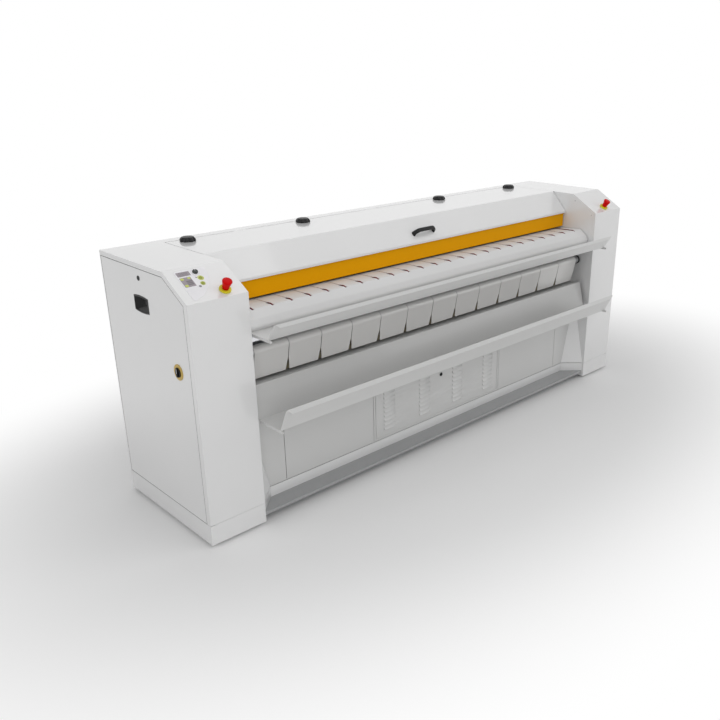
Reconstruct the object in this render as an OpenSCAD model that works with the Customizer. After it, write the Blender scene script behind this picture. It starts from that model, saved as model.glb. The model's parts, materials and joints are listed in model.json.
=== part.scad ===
// Flatwork ironer: one heated roll between two end cabinets, fed and emptied at the front.
// All lengths are millimetres. Drawn with x along the roll, y from the cabinets' front face to the back
// and z up from the cabinets' underside, then moved so that the origin is the bottom centre of the whole.

/* [Cabinets] */
// Clear width between the two inner walls
inner_w = 2630; // [1800:10:3400]
// Width of each end cabinet, inner wall included
cab_w = 290; // [260:1:340]
// Depth of the cabinets
cab_d = 758; // [740:1:820]
// Height of the cabinets above their underside
cab_h = 1230; // [1215:1:1260]
// Drop from the cabinets' top to the foot of the sloping control face
slope_drop = 106; // [92:1:130]
// Depth that the sloping control face takes up
slope_d = 180; // [160:1:200]
// Thickness of the casing sheet
sheet_t = 2; // [1.5:0.1:2.5]
// Thickness of the inner walls that carry the rollers
frame_t = 4; // [3:0.5:6]
// Height of the plinth below the casing seam
plinth_h = 98; // [90:1:104]
// Width of the open seams between casing panels
seam = 2.4; // [1.5:0.1:3]
// Height of the feet under the cabinets
foot_h = 15; // [12:0.5:25]
// Radius of a foot pad
foot_r = 25; // [18:0.5:30]

/* [Side panels] */
// Frame left in front of a side panel
panel_front = 30; // [24:1:40]
// Frame left behind a side panel
panel_back = 6; // [5:0.5:12]
// Frame left above a side panel
panel_top = 23; // [20:0.5:30]
// Depth of the folded edge of doors and panels
fold_d = 12; // [8:0.5:14]
// Distance of the lock and the pull behind the front face
pull_y = 396; // [360:1:430]
// Distance of the side lock below the cabinets' top
side_lock_down = 66; // [60:1:80]
// Radius of a lock barrel
lock_r = 9; // [7:0.5:11]
// Width of the recessed pull
pull_w = 126; // [110:1:140]
// Height of the recessed pull
pull_h = 79; // [70:1:90]
// Depth of the recessed pull
pull_deep = 26; // [18:1:34]
// Distance of the recessed pull's middle below the cabinets' top
pull_down = 183; // [160:1:200]
// Distance of the main switch behind the front face
switch_y = 130; // [110:1:160]
// Distance of the main switch below the cabinets' top
switch_down = 427; // [390:1:470]
// Radius of the yellow plate of the main switch
switch_plate_r = 36; // [32:0.5:42]
// How far the main switch stands out of the side panel
switch_reach = 12; // [9:0.5:18]

/* [Roll and rollers] */
// Radius of the heated roll
roll_r = 175; // [165:1:180]
// Wall of the heated roll
roll_wall = 8; // [6:0.5:12]
// Roll axis behind the front face
roll_y = 330; // [322:1:338]
// Distance of the roll's axis below the cabinets' top
roll_down = 430; // [422:1:440]
// Gap between the roll and the inner walls
roll_gap = 20; // [14:1:30]
// Radius of the roll's hollow journals
journal_r = 30; // [28:0.5:34]
// Wall of the hollow journals
journal_wall = 8; // [6:0.5:10]
// Radius of the nip roller and the outlet roller
nip_r = 25; // [20:0.5:28]
// Radius of the two rear belt rollers
rear_roller_r = 30; // [25:0.5:34]
// Rear belt rollers in front of the back of the cabinets
rear_roller_in = 158; // [145:1:165]
// Distance of the lower rear belt roller below the cabinets' top
return_down = 630; // [610:1:650]
// Distance of the upper rear belt roller below the cabinets' top
tension_down = 220; // [200:1:230]
// Radius of all roller shafts
shaft_r = 10; // [8:0.5:12]
// Number of ironing belts
belt_n = 13; // [9:1:15]
// Thickness of the ironing belts
belt_t = 3; // [2:0.5:4]
// Gap between two ironing belts
belt_gap = 13; // [8:0.5:20]

/* [Feed table] */
// Front edge of the flat feeding surface
table_front_y = 100; // [92:1:106]
// Distance of the feeding surface's front edge below the cabinets' top
table_down = 220; // [217:0.5:223]
// Rear edge of the feeding surface
table_rear_y = 262; // [256:1:266]
// How far the feeding surface falls towards the roll
table_fall = 8; // [6:0.5:10]
// Furthest point of the rounded table front
nose_y = 38; // [30:1:44]
// Distance of the rounded table front's furthest point below the cabinets' top
nose_down = 285; // [280:0.5:290]
// Lower end of the table front
nose_foot_y = 54; // [50:1:57]
// Number of red guide cords
cord_n = 24; // [12:1:30]
// Thickness of the guide cords
cord_t = 4; // [3:0.5:5]
// Distance from the outermost guide cords to the inner walls
cord_in = 78; // [60:1:90]
// Radius of the cord pulleys on the feed roller
pulley_r = 25; // [23:0.5:26]
// Feed roller axis behind the front face
feed_y = 118; // [115:1:121]
// Radius of the fixed bar that turns the cords at the back
cord_bar_r = 6; // [5:0.5:8]

/* [Finger guard and hood] */
// Front face of the finger guard
guard_y = 243; // [241:0.5:246]
// Distance of the finger guard's lower edge below the cabinets' top
guard_down = 215; // [208:0.5:216]
// Distance of the finger guard's upper edge below the cabinets' top
guard_top_down = 130; // [128:0.5:134]
// Distance of the hood's front rim below the cabinets' top
rim_down = 117; // [110:0.5:118]
// Front rim of the hood behind the front face
rim_y = 233; // [229:0.5:234]
// Fold between the hood's top and its slope
hood_fold_y = 340; // [320:1:360]
// Rear seam of the hood in front of the cabinets' back
hood_seam_in = 68; // [60:1:80]
// Length of the hood handle
handle_l = 168; // [150:1:190]
// Height of the hood handle over the hood
handle_h = 42; // [36:1:50]
// Width of the hood handle
handle_w = 24; // [20:1:30]
// Base radius of the hood's hand knobs
knob_r = 40; // [34:0.5:42]
// Height of the hood's hand knobs
knob_h = 21; // [18:0.5:26]

/* [Trays, chute and front] */
// Distance from the trays' ends to the inner walls
tray_gap = 20; // [14:1:26]
// Distance of the upper tray's floor below the cabinets' top
upper_tray_down = 305; // [300:1:310]
// Reach of the upper tray's floor in front of the cabinets
upper_tray_y = 93; // [84:1:104]
// Height of the upper tray's front wall
upper_wall_h = 78; // [68:1:86]
// Lean of the upper tray's front wall
upper_wall_lean = 50; // [42:1:58]
// Height of the lower tray's floor as a share of the cabinets' height
lower_tray_share = 0.418; // [0.41:0.001:0.423]
// Reach of the lower tray's floor in front of the cabinets
lower_tray_y = 136; // [126:1:146]
// Height of the lower tray's front wall
lower_wall_h = 114; // [104:1:124]
// Lean of the lower tray's front wall
lower_wall_lean = 55; // [46:1:64]
// Depth of the lip that is folded down at the upper tray's front
upper_lip_h = 19; // [15:1:24]
// Depth of the lip that is folded down at the lower tray's front
lower_lip_h = 26; // [20:1:32]
// Distance of the linen chute's upper edge below the cabinets' top
chute_top_down = 564; // [562:1:575]
// Upper edge of the linen chute behind the front face
chute_top_y = 67; // [60:1:72]
// Lower edge of the linen chute behind the front face
chute_foot_y = 28; // [20:1:36]
// Front face of the lower panels behind the cabinets' front
front_y = 112; // [106:1:118]
// Underside of the lower front panels
front_z = 99; // [94:1:103]
// Distance from the front panels' lower corners to the inner walls
front_in = 109; // [90:1:140]
// Half width of the louvred door
door_half_w = 508; // [380:2:560]
// Distance of the louvred door's top below the lower tray
door_top_down = 102; // [74:1:110]
// Width of a louvre
louvre_w = 80; // [65:1:90]
// Plain height above the topmost louvres of the door
louvre_top_down = 28; // [20:1:60]
// Number of louvres in a column
louvre_n = 10; // [6:1:11]
// Underside of the base plate
base_z = 35; // [28:1:38]

/* [Tongues] */
// Radius of the tube that carries the tongues
tube_r = 24; // [20:0.5:26]
// Tongue tube behind the front face
tube_y = 111; // [106:1:116]
// Distance of the tongue tube below the cabinets' top
tube_down = 420; // [410:1:430]
// Distance from the outermost tongues to the inner walls
tongue_in = 58.5; // [50:0.5:70]
// Number of tongues
tongue_n = 13; // [9:1:15]
// Thickness of a tongue
tongue_t = 2.5; // [1.5:0.1:3]
// Gap between two tongues
tongue_gap = 4; // [3:0.5:7]
// Distance of the tongues' lower edge below the cabinets' top
tongue_tip_down = 554; // [546:1:556]
// Lean of the hanging tongues in degrees
tongue_lean = 11; // [8:0.5:13]

/* [Controls] */
// Radius of the mushroom stop buttons
stop_r = 21.5; // [19.5:0.5:23.5]
// Radius of the yellow collars under the stop buttons
collar_r = 26; // [24:0.5:30]
// Thickness of the yellow collars
collar_t = 9; // [7:0.5:12]
// Travel of the stop buttons
stop_travel = 4; // [3:0.5:5]
// Left stop button from the outer side of its cabinet
stop_left_x = 200; // [190:1:210]
// Right stop button from the outer side of its cabinet
stop_right_x = 150; // [140:1:165]
// Distance of both stop buttons up the control slope
stop_up = 40; // [34:1:46]
// Thickness of the control overlay
overlay_t = 1; // [0.6:0.1:1.5]
// Radius of the round push buttons
button_r = 8; // [7:0.25:8.5]
// Travel of the push buttons
button_travel = 1.5; // [1:0.1:2]
// Radius of the speed knob
dial_r = 12; // [10:0.5:13]
// Height of the speed knob
dial_h = 9; // [7:0.5:12]

/* [Drive, heating and exhaust] */
// Radius of the large sprocket on the roll
big_sprocket_r = 90; // [75:1:100]
// Radius of the small sprocket on the gear motor
small_sprocket_r = 30; // [25:1:36]
// Height of the gear motor's shaft
motor_z = 410; // [390:1:430]
// Number of heating rods
heater_n = 6; // [3:1:9]
// Radius of the exhaust fan housing
fan_r = 80; // [70:1:86]
// Distance of the exhaust fan's axis below the cabinets' top
fan_down = 140; // [136:1:145]
// Inner radius of the exhaust spigot
spigot_r = 57; // [50:0.5:58]
// Reach of the exhaust spigot behind the cabinets
spigot_reach = 60; // [50:1:80]
// Inner radius of the cable gland
gland_r = 9; // [7:0.5:11]

/* [Hidden] */
$fn = 64;

// Height of a screw head, which reaches out of the right side
screw_h = 2.5;

// Small clearances and the overrun of every cut
cut = 1;
run_gap = 0.06;
free_gap = 0.3;
belt_clear = 0.8;

// Places across the machine
inner_x = inner_w / 2;
outer_x = inner_x + cab_w;
shell_x = inner_x + frame_t;
tray_w = inner_w - 2 * tray_gap;
cord_span = inner_w - 2 * cord_in;
tongue_span = inner_w - 2 * tongue_in;
front_half_w = inner_w / 2 - front_in;

// Heights that hang from the cabinets' top
slope_foot_z = cab_h - slope_drop;
side_lock_z = cab_h - side_lock_down;
pull_z = cab_h - pull_down;
switch_z = cab_h - switch_down;
roll_z = cab_h - roll_down;
return_z = cab_h - return_down;
tension_z = cab_h - tension_down;
table_z = cab_h - table_down;
nose_z = cab_h - nose_down;
guard_z = cab_h - guard_down;
guard_top_z = cab_h - guard_top_down;
rim_z = cab_h - rim_down;
upper_tray_z = cab_h - upper_tray_down;
chute_top_z = cab_h - chute_top_down;
tube_z = cab_h - tube_down;
tongue_tip_z = cab_h - tongue_tip_down;
fan_z = cab_h - fan_down;
lower_tray_z = round(cab_h * lower_tray_share);
door_top_z = lower_tray_z - door_top_down;

// The control slope
slope_a = atan2(cab_h - slope_foot_z, slope_d);

// Bend and step values for curved sheet
arc_steps = 6;
belt_step = 12;

// Lip of the lower tray, which is the front of the whole machine
front_reach = lower_tray_y + lower_wall_lean;
back_reach = cab_d + spigot_reach;
shift_x = (switch_reach - screw_h) / 2;
shift_y = (front_reach - back_reach) / 2;

// Everything is drawn in the machine's own places and moved once
module placed() {
  translate([shift_x, shift_y, foot_h]) children();
}

module along_x(x0, x1) {
  translate([x0, 0, 0]) rotate([90, 0, 90]) linear_extrude(x1 - x0) children();
}

module bar_x(y, z, r, x0, x1) {
  translate([x0, y, z]) rotate([0, 90, 0]) cylinder(r = r, h = x1 - x0);
}

module bar_y(x, z, r, y0, y1) {
  translate([x, y1, z]) rotate([90, 0, 0]) cylinder(r = r, h = y1 - y0);
}

module block(x0, x1, y0, y1, z0, z1) {
  translate([x0, y0, z0]) cube([x1 - x0, y1 - y0, z1 - z0]);
}

module sided(side) {
  if (side > 0) mirror([1, 0, 0]) children();
  else children();
}

function unit(v) = v / norm(v);
function left_of(v) = [-v.y, v.x];

// A path moved sideways by t to its left, with mitred corners
function shifted(path, t) = [for (i = [0:len(path) - 1]) let(
  last = len(path) - 1,
  before = unit(i > 0 ? path[i] - path[i - 1] : path[1] - path[0]),
  after = unit(i < last ? path[i + 1] - path[i] : path[last] - path[last - 1]),
  n = unit(left_of(before) + left_of(after)))
  path[i] + n * t / (n * left_of(before))];

function backwards(path) = [for (i = [len(path) - 1:-1:0]) path[i]];

// The outline of a bent sheet of thickness t along a path
function sheet(path, t) = concat(path, backwards(shifted(path, t)));

// One corner turned into an arc of radius r
function corner(p, q, s, r) = let(
  a = unit(q - p),
  b = unit(s - q),
  turn = acos(max(-1, min(1, a * b))),
  side = sign(a.x * b.y - a.y * b.x),
  start = q - a * r * tan(turn / 2),
  out = -left_of(a) * side * r,
  centre = start - out)
  [for (k = [0:arc_steps]) let(w = side * turn * k / arc_steps)
    centre + [out.x * cos(w) - out.y * sin(w), out.x * sin(w) + out.y * cos(w)]];

// A path whose inner corners are all rounded by r
function bent(path, r) = let(last = len(path) - 1) concat([path[0]],
  [for (i = [1:last - 1]) each corner(path[i - 1], path[i], path[i + 1], r)], [path[last]]);

// Direction of the straight run between two wheels, each [y, z, radius], negative when it turns clockwise
function run_angle(a, b) = let(d = [b.x - a.x, b.y - a.y])
  atan2(d.y, d.x) - asin(max(-1, min(1, (b.z - a.z) / norm(d))));

function positive(w) = w - 360 * floor(w / 360);

// The closed path of a band round its wheels, moved k to the left
function band(wheels, k) = let(n = len(wheels)) [for (i = [0:n - 1]) let(
  w = wheels[i],
  into = run_angle(wheels[(i + n - 1) % n], w),
  out = run_angle(w, wheels[(i + 1) % n]),
  turn = w.z > 0 ? positive(out - into) : -positive(into - out),
  steps = max(1, ceil(abs(turn) / (abs(w.z) > roll_r ? belt_step / 2 : belt_step))))
  each [for (j = [0:steps]) let(u = into + turn * j / steps) [w.x, w.y] - (w.z - k) * [-sin(u), cos(u)]]];

// A closed band of thickness t whose inner face runs on the wheels
module band_ring(wheels, t) {
  difference() {
    polygon(band(wheels, -t));
    polygon(band(wheels, 0));
  }
}

// Outline of a cabinet side, drawn in by a different distance on each edge
function side_outline(front, slope, top, back, z0) = [
  [front, z0],
  [front, slope_foot_z + front * tan(slope_a) - slope / cos(slope_a)],
  [(cab_h - top - slope_foot_z + slope / cos(slope_a)) / tan(slope_a), cab_h - top],
  [cab_d - back, cab_h - top],
  [cab_d - back, z0]];

module side_panel_shape(gap) {
  polygon(side_outline(panel_front + gap, panel_top + gap, panel_top + gap, panel_back + gap, panel_z + gap));
}

// A place on the control slope: local y runs up the slope and local z points out of it
module on_slope(x, up) {
  translate([x, up * cos(slope_a), slope_foot_z + up * sin(slope_a)]) rotate([slope_a, 0, 0]) children();
}

// Cabinets
casing_z = plinth_h + seam;
panel_z = plinth_h;
upstand_h = 14;
gland_x = outer_x - cab_w / 2;
gland_z = 250;
gland_nut_r = gland_r * 1.7;
gland_body_r = gland_r * 1.4;
gland_out = 18;
gland_nut_t = 8;

stem_r = stop_r * 0.6;

// Places of the controls from the cabinet's outer side and up the slope, as shares of its width and length
slope_l = norm([slope_d, cab_h - slope_foot_z]);
function on_panel(share) = [share.x * cab_w, share.y * slope_l];
dial_at = on_panel([0.459, 0.819]);
start_at = on_panel([0.476, 0.637]);
reverse_at = on_panel([0.452, 0.484]);

module slope_hole(at, r) {
  on_slope(-outer_x + at.x, at.y) translate([0, 0, -stop_deep]) cylinder(r = r + free_gap, h = 2 * stop_deep);
}

module slope_holes_left() {
  slope_hole([stop_left_x, stop_up], stem_r);
  slope_hole(dial_at, dial_stem_r);
  slope_hole(start_at, button_r);
  slope_hole(reverse_at, button_r);
}

module slope_holes_right() {
  slope_hole([stop_right_x, stop_up], stem_r);
}

stop_deep = 30;
dial_stem_r = 3;
dial_mark = 1.2;
button_out = 1;

// Casing of one cabinet, drawn for the left side, with a flange at depth d behind its side opening
flange_w = 14;
module casing(d) {
  difference() {
    along_x(-outer_x, -shell_x) polygon(side_outline(0, 0, 0, 0, casing_z));
    along_x(-outer_x + sheet_t, -shell_x + cut)
      polygon(side_outline(sheet_t, sheet_t, sheet_t, sheet_t, casing_z - cut));
    along_x(-outer_x - cut, -outer_x + sheet_t + cut) side_panel_shape(0);
  }
  difference() {
    along_x(-outer_x, -outer_x + d + sheet_t) side_panel_shape(-sheet_t);
    along_x(-outer_x - cut, -outer_x + d) side_panel_shape(0);
    along_x(-outer_x - cut, -outer_x + d + sheet_t + cut) side_panel_shape(flange_w);
    block(-outer_x - cut, -shell_x, -cut, cab_d, 0, casing_z);
  }
}

module left_cabinet() {
  color("white") placed() {
    difference() {
      casing(fold_d + free_gap);
      slope_holes_left();
      bar_y(-gland_x, gland_z, gland_body_r + free_gap, cab_d - sheet_t - cut, cab_d + cut);
    }
  }
}

module right_cabinet() {
  color("white") placed() sided(1) difference() {
    casing(sheet_t);
    slope_holes_right();
  }
}

// Plinth of one cabinet with its floor, drawn for the left side
foot_in = 45;
module plinth() {
  difference() {
    union() {
      difference() {
        block(-outer_x, -shell_x, 0, cab_d, 0, plinth_h);
        block(-outer_x + sheet_t, -shell_x + cut, sheet_t, cab_d - sheet_t, sheet_t, plinth_h + cut);
      }
      for (y = [sheet_t, cab_d - 2 * sheet_t])
        block(-outer_x + 2 * fold_d, -shell_x, y, y + sheet_t, plinth_h - upstand_h, plinth_h + upstand_h);
      // Ledge under the side panel
      block(-outer_x + sheet_t, -outer_x + fold_d, panel_front + fold_d, cab_d - panel_back - fold_d,
        plinth_h - upstand_h, casing_z - free_gap);
    }
    foot_places() cylinder(r = foot_stem_r + free_gap, h = 4 * sheet_t, center = true);
  }
}

module foot_places() {
  for (x = [-outer_x + foot_in, -shell_x - foot_in], y = [foot_in, cab_d - foot_in]) translate([x, y,
    0]) children();
}

module plinths() {
  color("white") placed() for (side = [-1, 1]) sided(side) plinth();
}

// Feet: a rubber pad, a threaded stem and a nut on the plinth floor
foot_stem_r = 6;
foot_pad_h = foot_h * 0.7;
foot_nut_h = 7;
module feet() {
  color([0.08, 0.08, 0.08]) placed() for (side = [-1, 1]) sided(side) foot_places() {
    translate([0, 0, -foot_h]) cylinder(r = foot_r, h = foot_pad_h);
    translate([0, 0, -foot_h + foot_pad_h]) cylinder(r = 2 * foot_stem_r, h = foot_h - foot_pad_h);
    translate([0, 0, -foot_h]) cylinder(r = foot_stem_r, h = foot_h + 4 * foot_nut_h);
    translate([0, 0, sheet_t]) cylinder(r = 2 * foot_stem_r, h = foot_nut_h, $fn = 6);
  }
}

// Inner walls with the holes for everything that turns in them
nip_turn = 75;
outlet_turn = 235;
nip_dist = roll_r + nip_r + 2 * belt_clear + belt_t;
nip_at = [roll_y + nip_dist * cos(nip_turn), roll_z + nip_dist * sin(nip_turn)];
outlet_at = [roll_y + nip_dist * cos(outlet_turn), roll_z + nip_dist * sin(outlet_turn)];
rear_y = cab_d - rear_roller_in;
return_at = [rear_y, return_z];
tension_at = [rear_y, tension_z];
feed_z = table_z - pulley_r - cord_t / 4;
feed_at = [feed_y, feed_z];
guard_bar_r = 5;
guard_pin_r = 4;
guard_axis = [guard_y + guard_bar_r, guard_top_z - guard_bar_r];
hole_clear_r = journal_r + 3;

module frame_plates() {
  color("whitesmoke") placed() for (side = [-1, 1]) sided(side) difference() {
    along_x(-shell_x, -inner_x) polygon(side_outline(0, 0, 0, 0, 0));
    for (p = [nip_at, outlet_at, return_at, tension_at, feed_at, [tube_y, tube_z]])
      bar_x(p.x, p.y, shaft_r + run_gap, -shell_x - cut, -inner_x + cut);
    bar_x(roll_y, roll_z, hole_clear_r, -shell_x - cut, -inner_x + cut);
    bar_x(guard_axis.x, guard_axis.y, guard_pin_r + run_gap, -shell_x - cut, -inner_x + cut);
  }
}

// Cross beams: square tubes between the inner walls
beam = 40;
beam_wall = 3;
table_beam_in = 8;
table_beam_y = nose_foot_y + table_beam_in;
table_beam_h = 24;
module beam_x(y, z, w, h) {
  difference() {
    block(-inner_x, inner_x, y, y + w, z, z + h);
    block(-inner_x - cut, inner_x + cut, y + beam_wall, y + w - beam_wall, z + beam_wall, z + h - beam_wall);
  }
}

module cross_beams() {
  color("silver") placed() {
    beam_x(front_y + sheet_t, base_z + base_t, beam, beam);
    beam_x(front_y + sheet_t, lower_tray_z - sheet_t - beam, beam, beam);
    beam_x(table_beam_y, upper_tray_z, beam, table_beam_h);
    beam_x(cab_d - sheet_t - beam, base_z + base_t, beam, beam);
    beam_x(cab_d - sheet_t - beam, cab_h - sheet_t - hinge_leaf_t - beam, beam, beam);
    // Keepers that the hand knobs' catches turn under
    for (p = knob_places) block(p.x - keeper_w / 2, p.x + keeper_w / 2, p.y + catch_l - keeper_hold,
      cab_d - sheet_t - beam, cab_h - keeper_down - keeper_t, cab_h - keeper_down);
  }
}

// Base plate between the cabinets, with a folded front edge
base_t = 6;
base_front_y = 12;
base_edge_h = 10;
module base_plate() {
  color("darkgray") placed() {
    block(-inner_x, inner_x, base_front_y, cab_d - sheet_t, base_z, base_z + base_t);
    block(-inner_x, inner_x, base_front_y, base_front_y + sheet_t, base_z - base_edge_h, base_z);
  }
}

// Kick strip: flat across the front with its ends turned forward to the cabinets
module kick_strip() {
  color("white") placed() translate([0, 0, base_z + base_t])
    linear_extrude(front_z - seam - base_z - base_t) intersection() {
      polygon(sheet([[-inner_x, base_front_y], [-front_half_w, front_y], [front_half_w, front_y],
        [inner_x, base_front_y]], sheet_t));
      translate([-inner_x, 0]) square([2 * inner_x, cab_d]);
    }
}

// Lower front panels: two side panels with flared ends and a centre frame round the louvred door
front_top_z = lower_tray_z - sheet_t - seam;
flare_share = 0.24;
function flare(z) = front_half_w + flare_share * (z - front_z);
post_w = 16;
ledge_h = 10;
end_panel_w = 100;
panel_joint_x = front_half_w - end_panel_w;
door_sill = 14;
door_z = front_z + door_sill;
module front_panels() {
  color("white") placed() {
    for (side = [-1, 1]) sided(side) translate([0, front_y + sheet_t, 0]) rotate([90, 0,
      0]) linear_extrude(sheet_t)
      for (p = [[flare(front_z), flare(front_top_z), panel_joint_x + seam],
        [panel_joint_x, panel_joint_x, door_half_w + post_w + seam]])
        polygon([[-p[0], front_z], [-p[2], front_z], [-p[2], front_top_z], [-p[1], front_top_z]]);
    difference() {
      block(-door_half_w - post_w, door_half_w + post_w, front_y, front_y + sheet_t, front_z, front_top_z);
      block(-door_half_w - seam, door_half_w + seam, front_y - cut, front_y + sheet_t + cut,
        door_z - seam, door_top_z + seam);
    }
    // Ledge that the door stands on
    block(-door_half_w, door_half_w, front_y + sheet_t, front_y + fold_d, door_z - ledge_h,
      door_z - free_gap);
    // Stepped flange behind the door's top edge, which the lock holds
    along_x(-door_half_w, door_half_w) polygon(let(y = front_y + fold_d + free_gap, z = door_top_z + seam)
      [[front_y + sheet_t, z], [y, z], [y, z - flange_w], [y + sheet_t, z - flange_w], [y + sheet_t,
        z + sheet_t],
      [front_y + sheet_t, z + sheet_t]]);
  }
}

// Cheeks: flat triangular plates from the front panels' edges forward to the inner walls
module cheek() {
  p = [-flare(front_z) - free_gap, front_y, front_z];
  q = [-inner_x, base_front_y, front_z];
  s = [-flare(front_top_z) - free_gap, front_y, front_top_z];
  rise = (front_top_z - front_z) * flare_share;
  foot = inner_x - flare(front_z) - free_gap;
  back = front_y - base_front_y;
  t = [-inner_x, base_front_y + back * rise / foot, front_top_z];
  n = [0, sheet_t, 0];
  polyhedron(points = [p, q, t, s, p + n, q + n, t + n, s + n],
    faces = [[0, 1, 2, 3], [7, 6, 5, 4], [0, 4, 5, 1], [1, 5, 6, 2], [2, 6, 7, 3], [3, 7, 4, 0]]);
}

module front_cheeks() {
  color("white") placed() {
    cheek();
    mirror([1, 0, 0]) cheek();
  }
}

// Louvred door with folded edges and pressed louvres
louvre_h = 7;
louvre_out = 9;
louvre_foot = 37;
louvre_z = door_z + louvre_foot;
louvre_pitch = (door_top_z - louvre_top_down - louvre_z) / (louvre_n - 1);
louvre_columns = [-0.81, -0.27, 0.27, 0.81];
door_lock_down = 61;
door_lock_z = door_top_z - door_lock_down;
module louvred_door() {
  color("white") placed() difference() {
    union() {
      block(-door_half_w, door_half_w, front_y, front_y + sheet_t, door_z, door_top_z);
      for (x = [-door_half_w, door_half_w - sheet_t])
        block(x, x + sheet_t, front_y, front_y + fold_d, door_z, door_top_z);
      for (z = [door_z, door_top_z - sheet_t])
        block(-door_half_w, door_half_w, front_y, front_y + fold_d, z, z + sheet_t);
      for (c = louvre_columns, k = [0:louvre_n - 1]) louvre_hood(c * door_half_w,
        louvre_z + k * louvre_pitch);
    }
    for (c = louvre_columns, k = [0:louvre_n - 1]) louvre_slot(c * door_half_w, louvre_z + k * louvre_pitch);
    bar_y(0, door_lock_z, lock_r + run_gap, front_y - cut, front_y + sheet_t + cut);
  }
}

module louvre_hood(x, z) {
  along_x(x - louvre_w / 2, x + louvre_w / 2)
    polygon([[front_y, z], [front_y - louvre_out, z], [front_y, z + 2 * louvre_h]]);
}

module louvre_slot(x, z) {
  along_x(x - louvre_w / 2 + sheet_t, x + louvre_w / 2 - sheet_t)
    polygon([[front_y - louvre_out, z - cut], [front_y - louvre_out + sheet_t, z], [front_y, z + louvre_h],
      [front_y + sheet_t + cut, z + louvre_h], [front_y + sheet_t + cut, z - cut]]);
}

// A lock barrel with its cam, drawn along +z from the panel's outer face inwards
lock_rim = 2;
cam_t = 3;
cam_w = 14;
cam_hold = 8;
module lock_barrel(turn, reach) {
  translate([0, 0, -lock_rim]) difference() {
    cylinder(r = lock_r + lock_rim, h = lock_rim - run_gap);
    translate([0, 0, -cut]) cylinder(r = lock_r / 2, h = cut + lock_rim / 2, $fn = 3);
  }
  translate([0, 0, -lock_rim / 2]) cylinder(r = lock_r, h = lock_rim / 2 + fold_d + sheet_t + cam_t);
  rotate([0, 0, turn]) translate([-cam_w / 2, 0, fold_d + sheet_t + 2 * free_gap])
    cube([cam_w, reach, cam_t - 2 * free_gap]);
}

module louvred_door_lock() {
  color([0.06, 0.06, 0.06]) placed() translate([0, front_y, door_lock_z]) rotate([-90, 0, 0])
    lock_barrel(90, door_top_z - door_lock_z + cam_hold - seam);
}

// Rear cover: one folded sheet from the hood seam over the top and down the back
seam_y = cab_d - hood_seam_in;
hinge_r = 4;
hinge_pin_r = 2;
hinge_leaf_t = 2;
leaf_weld = 0.5;
hinge_leaf_w = 30;
hinge_w = 70;
hinge_z = cab_h - hinge_r;
hood_edge_y = seam_y - hinge_pin_r * 0.75;
strip_edge_y = seam_y + hinge_r + hinge_pin_r / 5;
hinge_shares = [-0.68, 0, 0.68];
vent_w = 90;
vent_h = 8;
vent_n = 9;
vent_z = 180;
vent_shares = [-0.62, -0.5, 0.5, 0.62];
module rear_cover() {
  color("white") placed() {
    difference() {
      along_x(-inner_x, inner_x)
        polygon(sheet(backwards([[strip_edge_y, cab_h], [cab_d, cab_h], [cab_d, base_z + base_t]]), sheet_t));
      bar_y(0, fan_z, spigot_r + spigot_wall + spigot_clear, cab_d - sheet_t - cut, cab_d + cut);
      for (c = vent_shares, k = [0:vent_n - 1])
        block(c * inner_x, c * inner_x + vent_w, cab_d - sheet_t - cut, cab_d + cut,
          vent_z + k * 2.5 * vent_h, vent_z + k * 2.5 * vent_h + vent_h);
    }
    for (c = hinge_shares) translate([c * inner_x, 0, 0]) {
      for (x = [-hinge_w / 2, hinge_w / 6]) knuckle(x, x + hinge_w / 3, 1, 0);
      bar_x(seam_y, hinge_z, hinge_pin_r, -hinge_w / 2, hinge_w / 2);
    }
  }
}

// One hinge knuckle with its leaf towards side (1 back, -1 front), bored by bore where it turns on the pin
module knuckle(x0, x1, side, bore) {
  difference() {
    union() {
      bar_x(seam_y, hinge_z, hinge_r, x0, x1);
      block(x0, x1, side > 0 ? seam_y : seam_y - hinge_leaf_w, side > 0 ? seam_y + hinge_leaf_w : seam_y,
        cab_h - sheet_t - hinge_leaf_t, cab_h - sheet_t + leaf_weld);
    }
    if (bore > 0) bar_x(seam_y, hinge_z, bore, x0 - cut, x1 + cut);
  }
}

module right_side_cover() {
  color("white") placed() sided(1) along_x(-outer_x, -outer_x + sheet_t) side_panel_shape(seam);
}

// Feed table
table_gap = 6;
cord_pitch = cord_span / (cord_n - 1);
slot_w = 12;
slot_l = 56;
slot_shift = 6;
nose_step_y = 18;
nose_step_z = 33;
nose_r = 16;
table_path = bent([[table_rear_y, table_z - table_fall], [table_front_y, table_z],
  [nose_y + nose_step_y, table_z - nose_step_z], [nose_y, nose_z], [nose_foot_y, upper_tray_z]], nose_r);
function cord_x(k) = -cord_span / 2 + k * cord_pitch;
module feed_table() {
  color("white") placed() difference() {
    along_x(-inner_x + table_gap, inner_x - table_gap) polygon(sheet(table_path, sheet_t));
    for (k = [0:cord_n - 1])
      block(cord_x(k) - slot_w / 2, cord_x(k) + slot_w / 2, feed_y - slot_l / 2 + slot_shift,
        feed_y + slot_l / 2 + slot_shift, table_z - nose_step_z, table_z + cut);
  }
}

// Guide cords: closed red loops round the feed roller's pulleys and the fixed bar
cord_bar_at = [table_rear_y + 2 * cord_bar_r, table_z - table_fall - cord_bar_r * 0.8];
cord_wheels = [[feed_at.x, feed_at.y, -pulley_r - belt_clear / 2], [cord_bar_at.x, cord_bar_at.y,
  -cord_bar_r - belt_clear / 2]];
module guide_cords() {
  color([0.62, 0.08, 0.06]) placed() for (k = [0:cord_n - 1])
    along_x(cord_x(k) - cord_t / 2, cord_x(k) + cord_t / 2) difference() {
      polygon(band(cord_wheels, cord_t));
      polygon(band(cord_wheels, 0));
    }
}

module cord_guide_bar() {
  color("silver") placed() bar_x(cord_bar_at.x, cord_bar_at.y, cord_bar_r, -inner_x, inner_x);
}

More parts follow.
